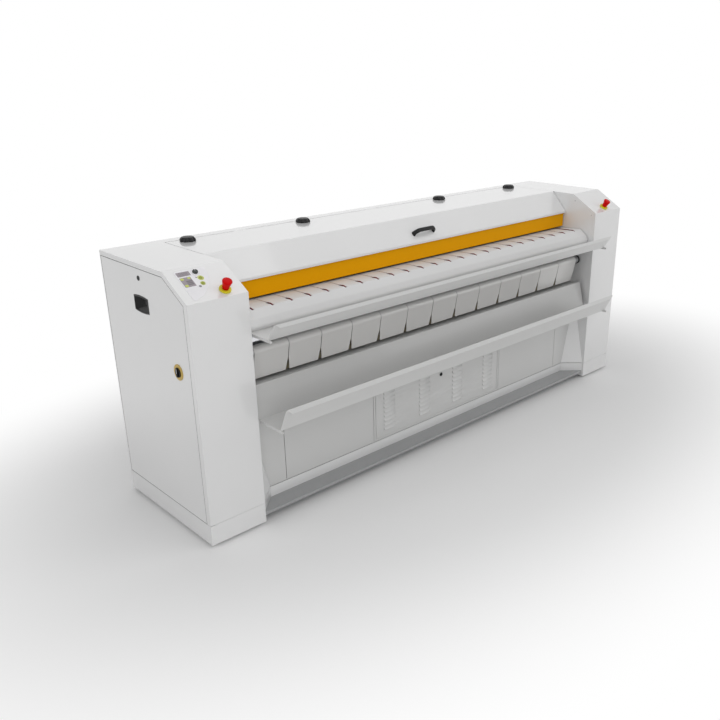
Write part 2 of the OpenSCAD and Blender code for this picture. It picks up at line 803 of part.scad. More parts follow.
// A plain roller with its shaft ends in the inner walls
roller_gap = 12;
shaft_out = 10;
module roller(at, r) {
  bar_x(at.x, at.y, r, -inner_x + roller_gap, inner_x - roller_gap);
  bar_x(at.x, at.y, shaft_r, -shell_x - shaft_out, shell_x + shaft_out);
}

pulley_w = 10;
module feed_roller() {
  color("dimgray") placed() {
    roller(feed_at, pulley_r * 0.7);
    for (k = [0:cord_n - 1]) bar_x(feed_at.x, feed_at.y, pulley_r, cord_x(k) - pulley_w / 2,
      cord_x(k) + pulley_w / 2);
  }
}

module nip_roller() {
  color("silver") placed() roller(nip_at, nip_r);
}

module outlet_roller() {
  color("silver") placed() roller(outlet_at, nip_r);
}

module return_roller() {
  color("silver") placed() roller(return_at, rear_roller_r);
}

module tension_roller() {
  color("silver") placed() roller(tension_at, rear_roller_r);
}

// Ironing belts: from the nip roller round the back of the roll to the outlet roller and back outside
belt_pitch = (2 * inner_x - 2 * roll_gap - 2 * belt_gap) / belt_n;
belt_w = belt_pitch - belt_gap;
belt_wheels = [
  [outlet_at.x, outlet_at.y, nip_r + belt_clear],
  [return_at.x, return_at.y, rear_roller_r + belt_clear],
  [tension_at.x, tension_at.y, rear_roller_r + belt_clear],
  [nip_at.x, nip_at.y, nip_r + belt_clear],
  [roll_y, roll_z, -roll_r - belt_clear - belt_t]];
function belt_x(k) = (k - (belt_n - 1) / 2) * belt_pitch;
module ironing_belts() {
  color("wheat") placed() for (k = [0:belt_n - 1])
    along_x(belt_x(k) - belt_w / 2, belt_x(k) + belt_w / 2) band_ring(belt_wheels, belt_t);
}

// Heated roll: a tube with welded ends, hollow journals and a bush for the heater pipe
journal_in = 56;
journal_drive = 110;
end_disc_t = 10;
bush_l = 24;
module ironing_roll() {
  color("gainsboro") placed() {
    difference() {
      union() {
        bar_x(roll_y, roll_z, roll_r, -inner_x + roll_gap, inner_x - roll_gap);
        bar_x(roll_y, roll_z, journal_r, -inner_x - journal_in, inner_x + journal_drive);
      }
      bar_x(roll_y, roll_z, roll_r - roll_wall, -inner_x + roll_gap + end_disc_t,
        inner_x - roll_gap - end_disc_t);
      bar_x(roll_y, roll_z, journal_r - journal_wall, -inner_x - journal_in - cut,
        inner_x + journal_drive + cut);
    }
    difference() {
      bar_x(roll_y, roll_z, journal_r - journal_wall / 2, inner_x + journal_drive - bush_l,
        inner_x + journal_drive);
      bar_x(roll_y, roll_z, pipe_r + run_gap, inner_x + journal_drive - bush_l - cut,
        inner_x + journal_drive + cut);
    }
  }
}

// Heater bundle: a fixed pipe through the roll with spiders and heating rods
pipe_r = 15;
rod_r = 8;
rod_ring_r = roll_r * 0.58;
spider_shares = [-0.9, 0, 0.9];
rod_half_l = inner_x - roll_gap - 5 * end_disc_t;
module heater_bundle() {
  color("slategray") placed() {
    bar_x(roll_y, roll_z, pipe_r, -shell_x - housing_l - cap_l, inner_x + journal_drive + end_disc_t);
    for (c = spider_shares) bar_x(roll_y, roll_z, rod_ring_r + 2 * rod_r, c * rod_half_l - cam_t,
      c * rod_half_l + cam_t);
    for (k = [0:heater_n - 1]) let(w = 360 * k / heater_n)
      bar_x(roll_y + rod_ring_r * cos(w), roll_z + rod_ring_r * sin(w), rod_r, -rod_half_l, rod_half_l);
  }
}

// Bearing housings outside the inner walls, the left one with the cap that holds the heater pipe
housing_l = 40;
housing_w = 130;
cap_l = 36;
cap_t = 5;
cap_rim = 14;
cap_r = journal_r + cap_rim;
module housing() {
  block(-shell_x - housing_l, -shell_x, roll_y - housing_w / 2, roll_y + housing_w / 2,
    roll_z - housing_w / 2, roll_z + housing_w / 2);
}

module bearing_housings() {
  color("dimgray") placed() {
    difference() {
      union() {
        housing();
        bar_x(roll_y, roll_z, cap_r, -shell_x - housing_l - cap_l, -shell_x - housing_l);
      }
      bar_x(roll_y, roll_z, journal_r + run_gap, -shell_x - housing_l - cap_l + cap_t, -shell_x + cut);
      bar_x(roll_y, roll_z, pipe_r + free_gap, -shell_x - housing_l - cap_l - cut, -shell_x);
    }
    sided(1) difference() {
      housing();
      bar_x(roll_y, roll_z, journal_r + run_gap, -shell_x - housing_l - cut, -shell_x + cut);
    }
  }
}

// Chain drive in the right cabinet
chain_gap = 24;
chain_x = shell_x + housing_l + chain_gap;
sprocket_t = 12;
chain_w = 8;
chain_t = 6;
big_teeth = 36;
small_teeth = 12;
tooth_h = 5;
function teeth(r, n) = [for (k = [0:4 * n - 1]) let(w = 90 * k / n,
  q = (k % 4 < 2) ? r : r - tooth_h) [q * cos(w), q * sin(w)]];
module sprocket(y, z, r, n, bore) {
  along_x(chain_x, chain_x + sprocket_t) translate([y, z]) difference() {
    polygon(teeth(r, n));
    circle(r = bore);
  }
}

module roll_sprocket() {
  color("gray") placed() sprocket(roll_y, roll_z, big_sprocket_r, big_teeth, journal_r + run_gap);
}

motor_shaft_r = 12;
motor_shaft_out = 6;
gearbox_gap = 12;
gearbox_x = chain_x + sprocket_t + gearbox_gap;
module motor_sprocket() {
  color("gray") placed() {
    sprocket(roll_y, motor_z, small_sprocket_r, small_teeth, motor_shaft_r / 2);
    bar_x(roll_y, motor_z, motor_shaft_r, chain_x - motor_shaft_out, gearbox_x + 2 * gear_wall);
  }
}

gear_wall = 14;
gearbox_w = 100;
gearbox_half = 60;
motor_r = 58;
motor_l = 200;
shelf_t = 8;
module gearmotor() {
  color("steelblue") placed() {
    difference() {
      block(gearbox_x, gearbox_x + gearbox_w, roll_y - gearbox_half, roll_y + gearbox_half,
        motor_z - gearbox_half, motor_z + gearbox_half);
      bar_x(roll_y, motor_z, motor_shaft_r + run_gap, gearbox_x - cut, gearbox_x + 3 * gear_wall);
    }
    bar_y(gearbox_x + gearbox_w / 2, motor_z, motor_r, roll_y + gearbox_half,
      roll_y + gearbox_half + motor_l);
    block(gearbox_x + gearbox_w / 4, gearbox_x + gearbox_w * 0.75, roll_y + 2 * gearbox_half,
      roll_y + 3 * gearbox_half,
      motor_z, motor_z + motor_r * 1.4);
    block(shell_x, gearbox_x + gearbox_w, roll_y - gearbox_half, roll_y + gearbox_half,
      motor_z - gearbox_half - shelf_t, motor_z - gearbox_half);
  }
}

chain_wheels = [[roll_y, motor_z, small_sprocket_r + belt_clear], [roll_y, roll_z,
  big_sprocket_r + belt_clear]];
module drive_chain() {
  color("dimgray") placed() along_x(chain_x + (sprocket_t - chain_w) / 2,
    chain_x + (sprocket_t + chain_w) / 2)
    band_ring(chain_wheels, chain_t);
}

// Electrical box on the left inner wall
box_d = 110;
box_y = [290, 565];
box_top_down = 110;
box_z = [250, roll_z - box_top_down];
box_lid_t = 3;
module electrical_box() {
  color("lightgray") placed() {
    block(-shell_x - box_d, -shell_x, box_y[0], box_y[1], box_z[0], box_z[1]);
    block(-shell_x - box_d - box_lid_t, -shell_x - box_d, box_y[0] - box_lid_t, box_y[1] + box_lid_t,
      box_z[0] - box_lid_t, box_z[1] + box_lid_t);
  }
}

// Exhaust fan on the rear cover with the spigot through it
spigot_wall = 3;
// Room for the duct round the spigot in the rear cover
spigot_clear = 3;
fan_wall = 4;
fan_l = 62;
fan_plate_t = 4;
fan_hub_r = 22;
fan_shaft_r = 4;
fan_blades = 7;
fan_arms = 3;
fan_back_y = cab_d - sheet_t;
module fan_housing() {
  color("silver") placed() {
    difference() {
      union() {
        bar_y(0, fan_z, fan_r, fan_back_y - fan_l, fan_back_y);
        bar_y(0, fan_z, spigot_r + spigot_wall, fan_back_y - cut, cab_d + spigot_reach);
      }
      bar_y(0, fan_z, fan_r - fan_wall, fan_back_y - fan_l - cut, fan_back_y - fan_plate_t);
      bar_y(0, fan_z, spigot_r, fan_back_y - fan_l, cab_d + spigot_reach + cut);
    }
    difference() {
      union() {
        bar_y(0, fan_z, fan_hub_r, fan_back_y - fan_l / 3, fan_back_y - fan_plate_t);
        for (k = [0:fan_arms - 1]) translate([0, 0, fan_z]) rotate([0, 120 * k, 0])
          block(0, fan_r - fan_wall / 2, fan_back_y - fan_l / 3, fan_back_y - fan_l / 3 + fan_wall,
            -fan_wall, fan_wall);
      }
      bar_y(0, fan_z, fan_shaft_r + run_gap, fan_back_y - fan_l / 3 - cut, fan_back_y - fan_plate_t - cut);
    }
  }
}

module fan_impeller() {
  fan_front = fan_back_y - fan_l + fan_wall;
  fan_rear = fan_back_y - fan_l / 3 - fan_wall / 2;
  color("gray") placed() {
    bar_y(0, fan_z, fan_hub_r, fan_front, fan_rear);
    bar_y(0, fan_z, fan_shaft_r, fan_front, fan_back_y - 2 * fan_wall);
    for (k = [0:fan_blades - 1]) translate([0, (fan_front + fan_rear) / 2, fan_z])
      rotate([0, 360 * k / fan_blades, 0]) rotate([35, 0, 0])
        block(fan_hub_r - fan_wall, fan_r - 2 * fan_wall, -(fan_rear - fan_front) * 0.5,
          (fan_rear - fan_front) * 0.5,
          -fan_wall / 4, fan_wall / 4);
  }
}

// Cable gland in the back of the left cabinet
module cable_gland() {
  color([0.1, 0.1, 0.1]) placed() difference() {
    union() {
      bar_y(-gland_x, gland_z, gland_body_r, cab_d - sheet_t - gland_nut_t, cab_d + gland_out);
      translate([-gland_x, cab_d + gland_nut_t, gland_z]) rotate([90, 0, 0]) cylinder(r = gland_nut_r,
        h = gland_nut_t, $fn = 6);
      translate([-gland_x, cab_d - sheet_t, gland_z]) rotate([90, 0, 0]) cylinder(r = gland_nut_r,
        h = gland_nut_t, $fn = 6);
    }
    bar_y(-gland_x, gland_z, gland_r, cab_d - sheet_t - gland_nut_t - cut, cab_d + gland_out + cut);
  }
}

// Tongues: plates hooked over a tube, hanging in front of the roll with tapered lower corners
tongue_pitch = tongue_span / tongue_n;
tongue_w = tongue_pitch - tongue_gap;
tongue_hook = 70;
tongue_seat = 0.2;
taper_l = 62;
taper_w = 10;
tube_end = 26;
cap_out_r = tube_r + 3;
tube_cap_t = 12;
tongue_path = let(r = tube_r + tongue_seat, steps = 2 * arc_steps, stop = 180 + tongue_lean, foot = [tube_y,
  tube_z] + r * [cos(stop), sin(stop)])
  concat([for (k = [0:steps]) let(w = tongue_hook + (stop - tongue_hook) * k / steps) [tube_y,
    tube_z] + r * [cos(w), sin(w)]],
    [foot + (foot.y - tongue_tip_z) / cos(tongue_lean) * [sin(tongue_lean), -cos(tongue_lean)]]);
module tongue_tube() {
  color("silver") placed() {
    bar_x(tube_y, tube_z, tube_r, -inner_x + tube_end, inner_x - tube_end);
    bar_x(tube_y, tube_z, shaft_r, -shell_x - shaft_out, shell_x + shaft_out);
  }
}

module tongue_caps() {
  color([0.05, 0.05, 0.05]) placed() for (side = [-1, 1]) sided(side) difference() {
    bar_x(tube_y, tube_z, cap_out_r, -inner_x + tube_end - tube_cap_t, -inner_x + tube_end);
    bar_x(tube_y, tube_z, shaft_r + run_gap, -inner_x + tube_end - tube_cap_t - cut,
      -inner_x + tube_end + cut);
  }
}

module doffer_tongues() {
  color("gainsboro") placed() for (k = [0:tongue_n - 1]) translate([(k - (tongue_n - 1) / 2) * tongue_pitch,
    0, 0]) difference() {
    along_x(-tongue_w / 2, tongue_w / 2) polygon(sheet(tongue_path, -tongue_t));
    for (side = [-1, 1]) sided(side) translate([0, tube_y + 2 * tube_r, 0]) rotate([90, 0,
      0]) linear_extrude(4 * tube_r)
      polygon([[-tongue_w / 2 - cut, tongue_tip_z - cut], [-tongue_w / 2 + taper_w, tongue_tip_z - cut],
        [-tongue_w / 2 + taper_w, tongue_tip_z], [-tongue_w / 2, tongue_tip_z + taper_l],
          [-tongue_w / 2 - cut, tongue_tip_z + taper_l]]);
  }
}

// Linen chute: a guide under the tongues, a rounded upper edge and a leaning face down to the lower tray
chute_guide_y = 172;
chute_drop = 8;
chute_r = 4;
module chute_plate() {
  color("gainsboro") placed() {
    difference() {
      along_x(-tray_w / 2, tray_w / 2)
        polygon(sheet(bent([[chute_guide_y, chute_top_z - 2 * chute_drop], [chute_top_y, chute_top_z],
          [chute_foot_y, lower_tray_z]], chute_r), sheet_t));
      block(-inner_x, inner_x, 0, front_y, lower_tray_z - 2 * sheet_t, lower_tray_z);
    }
    for (side = [-1, 1]) sided(side)
      block(-inner_x, -tray_w / 2, chute_top_y + 2 * chute_drop, chute_guide_y - 2 * chute_drop,
        chute_top_z - 3 * chute_drop, chute_top_z - 2 * chute_drop);
  }
}

// A tray: floor, leaning front wall, a lip folded down with slanting ends, and an arm under each end
lip_cut_top = 3;
lip_cut_foot = 32;
arm_t = 5;
arm_h = 11;
arm_out = 14;
arm_in = 20;
module tray(rear_y, z, reach, wall_h, lean, lip_h) {
  top = [-reach - lean, z + wall_h];
  end = tray_w / 2;
  difference() {
    along_x(-end, end) polygon(sheet([[rear_y, z], [-reach, z], top, top - [0, lip_h]], sheet_t));
    for (side = [-1, 1]) sided(side) translate([0, top.x + sheet_t + free_gap, top.y]) rotate([90, 0, 0])
      linear_extrude(2 * sheet_t) polygon([[-end - cut, cut], [-end + lip_cut_top, cut],
        [-end + lip_cut_foot, -lip_h - cut], [-end - cut, -lip_h - cut]]);
  }
  for (side = [-1, 1]) sided(side) {
    block(-end, -end + arm_t, -reach - arm_out, arm_in, z - sheet_t - arm_h, z - sheet_t / 2);
    bar_x(-reach - arm_out, z - sheet_t / 2 - (arm_h + sheet_t / 2) / 2, (arm_h + sheet_t / 2) / 2, -end,
      -end + arm_t);
  }
}

module upper_tray() {
  color("white") placed() tray(table_beam_y + beam, upper_tray_z, upper_tray_y, upper_wall_h, upper_wall_lean,
    upper_lip_h);
}

module lower_tray() {
  color("white") placed() tray(front_y + sheet_t + beam, lower_tray_z, lower_tray_y, lower_wall_h,
    lower_wall_lean,
    lower_lip_h);
}

// Control overlay on the left slope with two display windows
overlay_r = 10;
window_t = 0.6;
overlay_shares = [[0.145, 0.5], [0.145, 0.105], [0.18, 0.067], [0.345, 0.172], [0.517, 0.402], [0.614, 0.671],
  [0.648, 0.92], [0.145, 0.92], [0.145, 0.5]];
window_shares = [[[0.166, 0.757], [0.372, 0.881]], [[0.166, 0.45], [0.338, 0.723]]];
module overlay_shape() {
  polygon(bent([for (s = overlay_shares) on_panel(s)], overlay_r));
}

module control_panel() {
  color([0.93, 0.93, 0.95]) placed() on_slope(-outer_x, 0) {
    difference() {
      linear_extrude(overlay_t) overlay_shape();
      for (p = [start_at, reverse_at]) translate([p.x, p.y, -cut]) cylinder(r = button_r + free_gap,
        h = overlay_t + 2 * cut);
      translate([dial_at.x, dial_at.y, -cut]) cylinder(r = dial_stem_r + free_gap, h = overlay_t + 2 * cut);
    }
    for (w = window_shares) let(p = on_panel(w[0]), q = on_panel(w[1]))
      translate([p.x, p.y, overlay_t]) cube([q.x - p.x, q.y - p.y, window_t]);
  }
}

// Mushroom stop buttons with yellow collars
stop_h = 53;
stop_waist = 0.8;
stop_round = 7;
retain_t = 3;
module stop_collars() {
  color("gold") placed() {
    on_slope(-outer_x + stop_left_x, stop_up) collar();
    sided(1) on_slope(-outer_x + stop_right_x, stop_up) collar();
  }
}

module collar() {
  difference() {
    cylinder(r = collar_r, h = collar_t);
    translate([0, 0, -cut]) cylinder(r = stem_r + free_gap, h = collar_t + 2 * cut);
  }
}

module mushroom() {
  lift = collar_t + stop_travel + free_gap;
  rotate_extrude() polygon(concat([[0, -stop_deep / 2], [stem_r, -stop_deep / 2], [stem_r, lift],
    [stop_r * stop_waist, lift]],
    [for (k = [0:arc_steps]) let(w = 90 * k / arc_steps)
      [stop_r - stop_round + stop_round * cos(w), stop_h - stop_round + stop_round * sin(w)]], [[0,
        stop_h]]));
  translate([0, 0, -stop_deep / 2 - retain_t]) cylinder(r = stem_r + 2 * retain_t, h = retain_t);
}

module stop_button_left() {
  color("red") placed() on_slope(-outer_x + stop_left_x, stop_up) mushroom();
}

module stop_button_right() {
  color("red") placed() sided(1) on_slope(-outer_x + stop_right_x, stop_up) mushroom();
}

// Speed dial and push buttons
module speed_dial() {
  color([0.15, 0.15, 0.15]) placed() on_slope(-outer_x + dial_at.x, dial_at.y) {
    translate([0, 0, overlay_t + free_gap]) difference() {
      cylinder(r = dial_r, h = dial_h);
      translate([-dial_mark / 2, dial_r * 0.3, dial_h - dial_mark]) cube([dial_mark, dial_r,
        dial_mark + cut]);
    }
    translate([0, 0, -stop_deep / 2]) cylinder(r = dial_stem_r, h = stop_deep / 2 + overlay_t + 2 * free_gap);
    translate([0, 0, -stop_deep / 2 - retain_t]) cylinder(r = dial_r * 0.7, h = retain_t);
  }
}

module push_button(at) {
  on_slope(-outer_x + at.x, at.y) translate([0, 0, -stop_deep / 2]) {
    cylinder(r = button_r, h = stop_deep / 2 + overlay_t + button_travel + button_out);
    translate([0, 0, -retain_t]) cylinder(r = button_r + retain_t, h = retain_t);
  }
}

module start_button() {
  color("yellowgreen") placed() push_button(start_at);
}

module reverse_button() {
  color("olive") placed() push_button(reverse_at);
}

// Left side door with folded edges
module left_side_door() {
  color("white") placed() difference() {
    union() {
      along_x(-outer_x, -outer_x + sheet_t) side_panel_shape(seam);
      difference() {
        along_x(-outer_x, -outer_x + fold_d) side_panel_shape(seam);
        along_x(-outer_x + sheet_t / 2, -outer_x + fold_d + cut) side_panel_shape(seam + sheet_t);
      }
    }
    bar_x(pull_y, side_lock_z, lock_r + run_gap, -outer_x - cut, -outer_x + sheet_t + cut);
    block(-outer_x - cut, -outer_x + sheet_t + cut, pull_y - pull_w / 2 + pull_rim,
      pull_y + pull_w / 2 - pull_rim,
      pull_z - pull_h / 2 + pull_rim, pull_z + pull_h / 2 - pull_rim);
    bar_x(switch_y, switch_z, switch_stem_r + free_gap, -outer_x - cut, -outer_x + sheet_t + cut);
  }
}

// Recessed pull: a rim on the door's face and a cup through its cut-out
pull_rim = 7;
pull_rim_t = 2;
pull_wall = 2;
module door_pull() {
  color([0.08, 0.08, 0.08]) placed() difference() {
    union() {
      block(-outer_x - pull_rim_t, -outer_x, pull_y - pull_w / 2, pull_y + pull_w / 2, pull_z - pull_h / 2,
        pull_z + pull_h / 2);
      block(-outer_x - cut, -outer_x + pull_deep, pull_y - pull_w / 2 + pull_rim + free_gap,
        pull_y + pull_w / 2 - pull_rim - free_gap,
        pull_z - pull_h / 2 + pull_rim + free_gap, pull_z + pull_h / 2 - pull_rim - free_gap);
    }
    block(-outer_x - pull_rim_t - cut, -outer_x + pull_deep - pull_wall,
      pull_y - pull_w / 2 + pull_rim + pull_wall,
      pull_y + pull_w / 2 - pull_rim - pull_wall, pull_z - pull_h / 2 + pull_rim + pull_wall,
        pull_z + pull_h / 2 - pull_rim - pull_wall);
  }
}

module side_lock() {
  color([0.06, 0.06, 0.06]) placed() translate([-outer_x, pull_y, side_lock_z]) rotate([0, 90, 0])
    lock_barrel(0, cab_h - panel_top - side_lock_z - seam);
}

// Main switch: a yellow plate on the door and a black handle that turns in it
switch_plate_t = 3;
switch_stem_r = 7;
switch_box = 46;
switch_box_d = 50;
module switch_plate() {
  color("gold") placed() difference() {
    union() {
      bar_x(switch_y, switch_z, switch_plate_r, -outer_x - switch_plate_t, -outer_x);
      block(-outer_x + sheet_t, -outer_x + switch_box_d, switch_y - switch_box / 2, switch_y + switch_box / 2,
        switch_z - switch_box / 2, switch_z + switch_box / 2);
    }
    bar_x(switch_y, switch_z, switch_stem_r + free_gap, -outer_x - switch_plate_t - cut,
      -outer_x + switch_box_d / 2);
  }
}

grip_w = 13;
module switch_handle() {
  color([0.06, 0.06, 0.06]) placed() {
    bar_x(switch_y, switch_z, switch_plate_r * 0.62, -outer_x - switch_plate_t - free_gap - switch_reach / 3,
      -outer_x - switch_plate_t - free_gap);
    block(-outer_x - switch_reach, -outer_x - switch_plate_t - free_gap - switch_reach / 4,
      switch_y - grip_w / 2, switch_y + grip_w / 2,
      switch_z - switch_plate_r * 0.8, switch_z + switch_plate_r * 0.8);
    bar_x(switch_y, switch_z, switch_stem_r, -outer_x - switch_reach / 2,
      -outer_x + switch_box_d / 2 - sheet_t);
  }
}

// Hood: top, slope, front rim and end plates, hinged at its rear seam
hood_gap = 3;
hood_hem = 6;
end_plate_w = 26;
hood_path = [[hood_edge_y, cab_h], [hood_fold_y, cab_h], [rim_y, rim_z], [rim_y, rim_z - hood_hem * 2]];
hood_a = atan2(cab_h - rim_z, hood_fold_y - rim_y);
module on_hood(x, up) {
  translate([x, rim_y + up * cos(hood_a), rim_z + up * sin(hood_a)]) rotate([hood_a, 0, 0]) children();
}

module hood_lid() {
  inner = shifted(hood_path, sheet_t);
  deep = shifted(hood_path, end_plate_w);
  color("white") placed() difference() {
    union() {
      difference() {
        along_x(-inner_x + hood_gap, inner_x - hood_gap) polygon(sheet(hood_path, sheet_t));
        for (c = hinge_shares) block(c * inner_x - hinge_w / 2 - free_gap,
          c * inner_x + hinge_w / 2 + free_gap,
          seam_y - hinge_r - free_gap, seam_y, cab_h - sheet_t - cut, cab_h + cut);
      }
      for (side = [-1, 1]) sided(side) along_x(-inner_x + hood_gap, -inner_x + hood_gap + sheet_t)
        polygon([inner[0] - [hinge_leaf_w, 0], inner[1], inner[2], deep[2], deep[1], deep[0] - [hinge_leaf_w,
          0]]);
      for (c = hinge_shares) translate([c * inner_x, 0, 0])
        knuckle(-hinge_w / 6 + free_gap, hinge_w / 6 - free_gap, -1, hinge_pin_r + run_gap);
    }
    for (p = knob_places) translate([p.x, p.y, cab_h - 3 * sheet_t]) cylinder(r = knob_stud_r + free_gap,
      h = 4 * sheet_t);
  }
}

// Hand knobs on the hood, each with a stud and a catch under the sheet
knob_stud_r = 4;
knob_in = 113;
knob_shares = [-0.926, -0.403, 0.403, 0.926];
knob_places = [for (c = knob_shares) [c * inner_x, cab_d - knob_in]];
catch_l = 32;
catch_t = 4;
catch_gap = 1.5;
keeper_w = 30;
keeper_t = 3;
keeper_down = sheet_t + hinge_leaf_t + beam - keeper_t;
keeper_hold = 11;
catch_down = keeper_down + keeper_t + catch_gap + catch_t;
module hood_knob(k) {
  color([0.05, 0.05, 0.05]) placed() translate([knob_places[k].x, knob_places[k].y, cab_h]) {
    translate([0, 0, free_gap]) cylinder(r1 = knob_r, r2 = knob_r * 0.78, h = knob_h, $fn = 8);
    translate([0, 0, -catch_down]) cylinder(r = knob_stud_r, h = catch_down + 2 * free_gap);
    translate([-catch_l, -knob_stud_r, -catch_down]) cube([catch_l, 2 * knob_stud_r, catch_t]);
  }
}

module hood_knob_1() { hood_knob(0); }
module hood_knob_2() { hood_knob(1); }
module hood_knob_3() { hood_knob(2); }
module hood_knob_4() { hood_knob(3); }

// Arched handle on the hood's slope
handle_up = 52;
handle_x = 8;
handle_bar = 13;
handle_foot = 24;
module hood_handle() {
  half = handle_l / 2;
  outer = bent([[-half, 0], [-half + handle_foot / 2, handle_h * 0.75], [-half + 1.6 * handle_foot, handle_h],
    [half - 1.6 * handle_foot, handle_h], [half - handle_foot / 2, handle_h * 0.75], [half, 0]], 12);
  inside = bent([[half - handle_foot, 0], [half - 1.3 * handle_foot, handle_h * 0.55],
    [half - 2 * handle_foot, handle_h - handle_bar],
    [-half + 2 * handle_foot, handle_h - handle_bar], [-half + 1.3 * handle_foot, handle_h * 0.55],
      [-half + handle_foot, 0]], 8);
  color([0.06, 0.06, 0.06]) placed() on_hood(handle_x, handle_up) translate([0, handle_w / 2, 0]) rotate([90,
    0, 0])
    linear_extrude(handle_w) polygon(concat(outer, inside));
}

// Finger guard: a yellow plate hung on a bar along its upper edge
guard_gap = 8;
module finger_guard() {
  color([0.86, 0.6, 0]) placed() {
    block(-inner_x + guard_gap, inner_x - guard_gap, guard_y, guard_y + sheet_t, guard_z, guard_top_z);
    bar_x(guard_axis.x, guard_axis.y, guard_bar_r, -inner_x + guard_gap, inner_x - guard_gap);
    bar_x(guard_axis.x, guard_axis.y, guard_pin_r, -shell_x - guard_gap / 2, shell_x + guard_gap / 2);
    block(-inner_x + guard_gap, inner_x - guard_gap, guard_y + sheet_t, guard_y + 3 * sheet_t, guard_z,
      guard_z + sheet_t);
  }
}

// Screws: round heads on the inner walls, the right side cover and the rear cover
screw_r = 4.5;
screw_in = 14;
module screw_head() {
  cylinder(r1 = screw_r, r2 = screw_r * 0.6, h = screw_h);
}

module screws() {
  wall_spots = [[slope_d * 0.18, slope_foot_z - screw_in], [slope_d * 0.9, cab_h - 3 * screw_in]];
  color("gray") placed() {
    for (side = [-1, 1], p = wall_spots) sided(side) translate([-inner_x, p.x, p.y]) rotate([0, 90,
      0]) screw_head();
    for (p = [[panel_front + 2 * screw_in, casing_z + 2 * screw_in], [cab_d - 3 * screw_in,
      casing_z + 2 * screw_in],
      [cab_d - 3 * screw_in, cab_h - 4 * screw_in], [panel_front + 2 * screw_in,
        slope_foot_z - 4 * screw_in]])
      translate([outer_x, p.x, p.y]) rotate([0, 90, 0]) screw_head();
    for (c = [-0.97, -0.5, -0.16, 0.16, 0.5, 0.97], z = [base_z + 3 * screw_in, cab_h - 2 * screw_in])
      translate([c * (inner_x - screw_in), cab_d, z]) rotate([-90, 0, 0]) screw_head();
  }
}

left_cabinet();
right_cabinet();
plinths();
frame_plates();
cross_beams();
base_plate();
kick_strip();
front_panels();
front_cheeks();
rear_cover();
right_side_cover();
feed_table();
guide_cords();
cord_guide_bar();
ironing_belts();
chute_plate();
upper_tray();
lower_tray();
control_panel();
stop_collars();
feet();
bearing_housings();
gearmotor();
electrical_box();
fan_housing();
heater_bundle();
drive_chain();
screws();
cable_gland();
ironing_roll();
roll_sprocket();
feed_roller();
nip_roller();
outlet_roller();
return_roller();
tension_roller();
motor_sprocket();
fan_impeller();
tongue_tube();
tongue_caps();
doffer_tongues();
hood_lid();
hood_handle();
hood_knob_1();
hood_knob_2();
hood_knob_3();
hood_knob_4();
finger_guard();
left_side_door();
door_pull();
switch_plate();
switch_handle();
side_lock();
louvred_door();
louvred_door_lock();
stop_button_left();
stop_button_right();
speed_dial();
start_button();
reverse_button();
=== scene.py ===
"""Dresses the flatwork ironer: camera, light, finishes and the detailed pieces that stand for plain solids."""
import json
import math

import bmesh
import bpy
import numpy as np
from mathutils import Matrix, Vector


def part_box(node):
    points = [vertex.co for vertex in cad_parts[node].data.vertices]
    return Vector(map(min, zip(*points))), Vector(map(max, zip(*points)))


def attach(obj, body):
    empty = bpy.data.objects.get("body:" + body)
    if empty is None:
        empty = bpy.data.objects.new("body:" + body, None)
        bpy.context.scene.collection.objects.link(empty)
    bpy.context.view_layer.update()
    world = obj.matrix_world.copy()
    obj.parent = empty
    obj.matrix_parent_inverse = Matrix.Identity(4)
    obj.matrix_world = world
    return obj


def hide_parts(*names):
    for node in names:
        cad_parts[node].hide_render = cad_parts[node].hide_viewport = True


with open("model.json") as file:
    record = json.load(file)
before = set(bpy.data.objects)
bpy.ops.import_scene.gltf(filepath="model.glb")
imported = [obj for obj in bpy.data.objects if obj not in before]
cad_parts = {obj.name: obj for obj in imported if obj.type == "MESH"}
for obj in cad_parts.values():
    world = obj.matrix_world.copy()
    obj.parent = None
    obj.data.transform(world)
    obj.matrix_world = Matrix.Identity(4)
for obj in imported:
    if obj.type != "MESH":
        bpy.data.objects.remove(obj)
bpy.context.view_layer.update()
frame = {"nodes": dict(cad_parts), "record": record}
NODES = frame["nodes"]
RECORD = frame["record"]
BODY_OF = {node: body for body, nodes in RECORD["behaviour"]["bodies"].items() for node in nodes}
SLOT_OF = {row["node"]: row["material_slot"] for row in RECORD["subparts"]}
MM = 0.001

# The cabinets' own places: x 0 is the machine's middle, y 0 the cabinets' front, z 0 their underside
CABINET_H, CABINET_D, CABINET_W, OUTER_X, INNER_X = 1230.0, 758.0, 290.0, 1605.0, 1315.0
SLOPE_FOOT, SLOPE_D = 1124.0, 180.0
walls_low, walls_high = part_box("frame_plates")
SHIFT = np.array([(walls_low.x + walls_high.x) / 2, walls_low.y, walls_low.z])


def at(*mm):
    """Places given in millimetres from the cabinets' own zero, in the frame's metres."""
    return np.array(mm, float).reshape(-1, 3).squeeze() * MM + SHIFT


def srgb(value):
    """An sRGB hex colour as the linear RGBA that the shaders take."""
    parts = [int(value[i:i + 2], 16) / 255 for i in (1, 3, 5)]
    linear = [p / 12.92 if p <= 0.04045 else ((p + 0.055) / 1.055) ** 2.4 for p in parts]
    return (*linear, 1.0)


def add(tree, kind, inputs=None, **settings):
    """Adds one node, with its settings and its inputs: an input is a value, or an output socket to link."""
    node = tree.nodes.new(kind)
    for key, value in settings.items():
        setattr(node, key, value)
    for key, value in (inputs or {}).items():
        if isinstance(value, bpy.types.NodeSocket):
            tree.links.new(value, node.inputs[key])
        else:
            node.inputs[key].default_value = value
    return node


def material(name, **shader):
    """An empty material with a Principled shader and its output; returns the material, its tree and the shader."""
    made = bpy.data.materials.new(name)
    made.use_nodes = True
    tree = made.node_tree
    tree.nodes.clear()
    surface = add(tree, "ShaderNodeBsdfPrincipled", shader)
    add(tree, "ShaderNodeOutputMaterial", {"Surface": surface.outputs["BSDF"]})
    return made, tree, surface


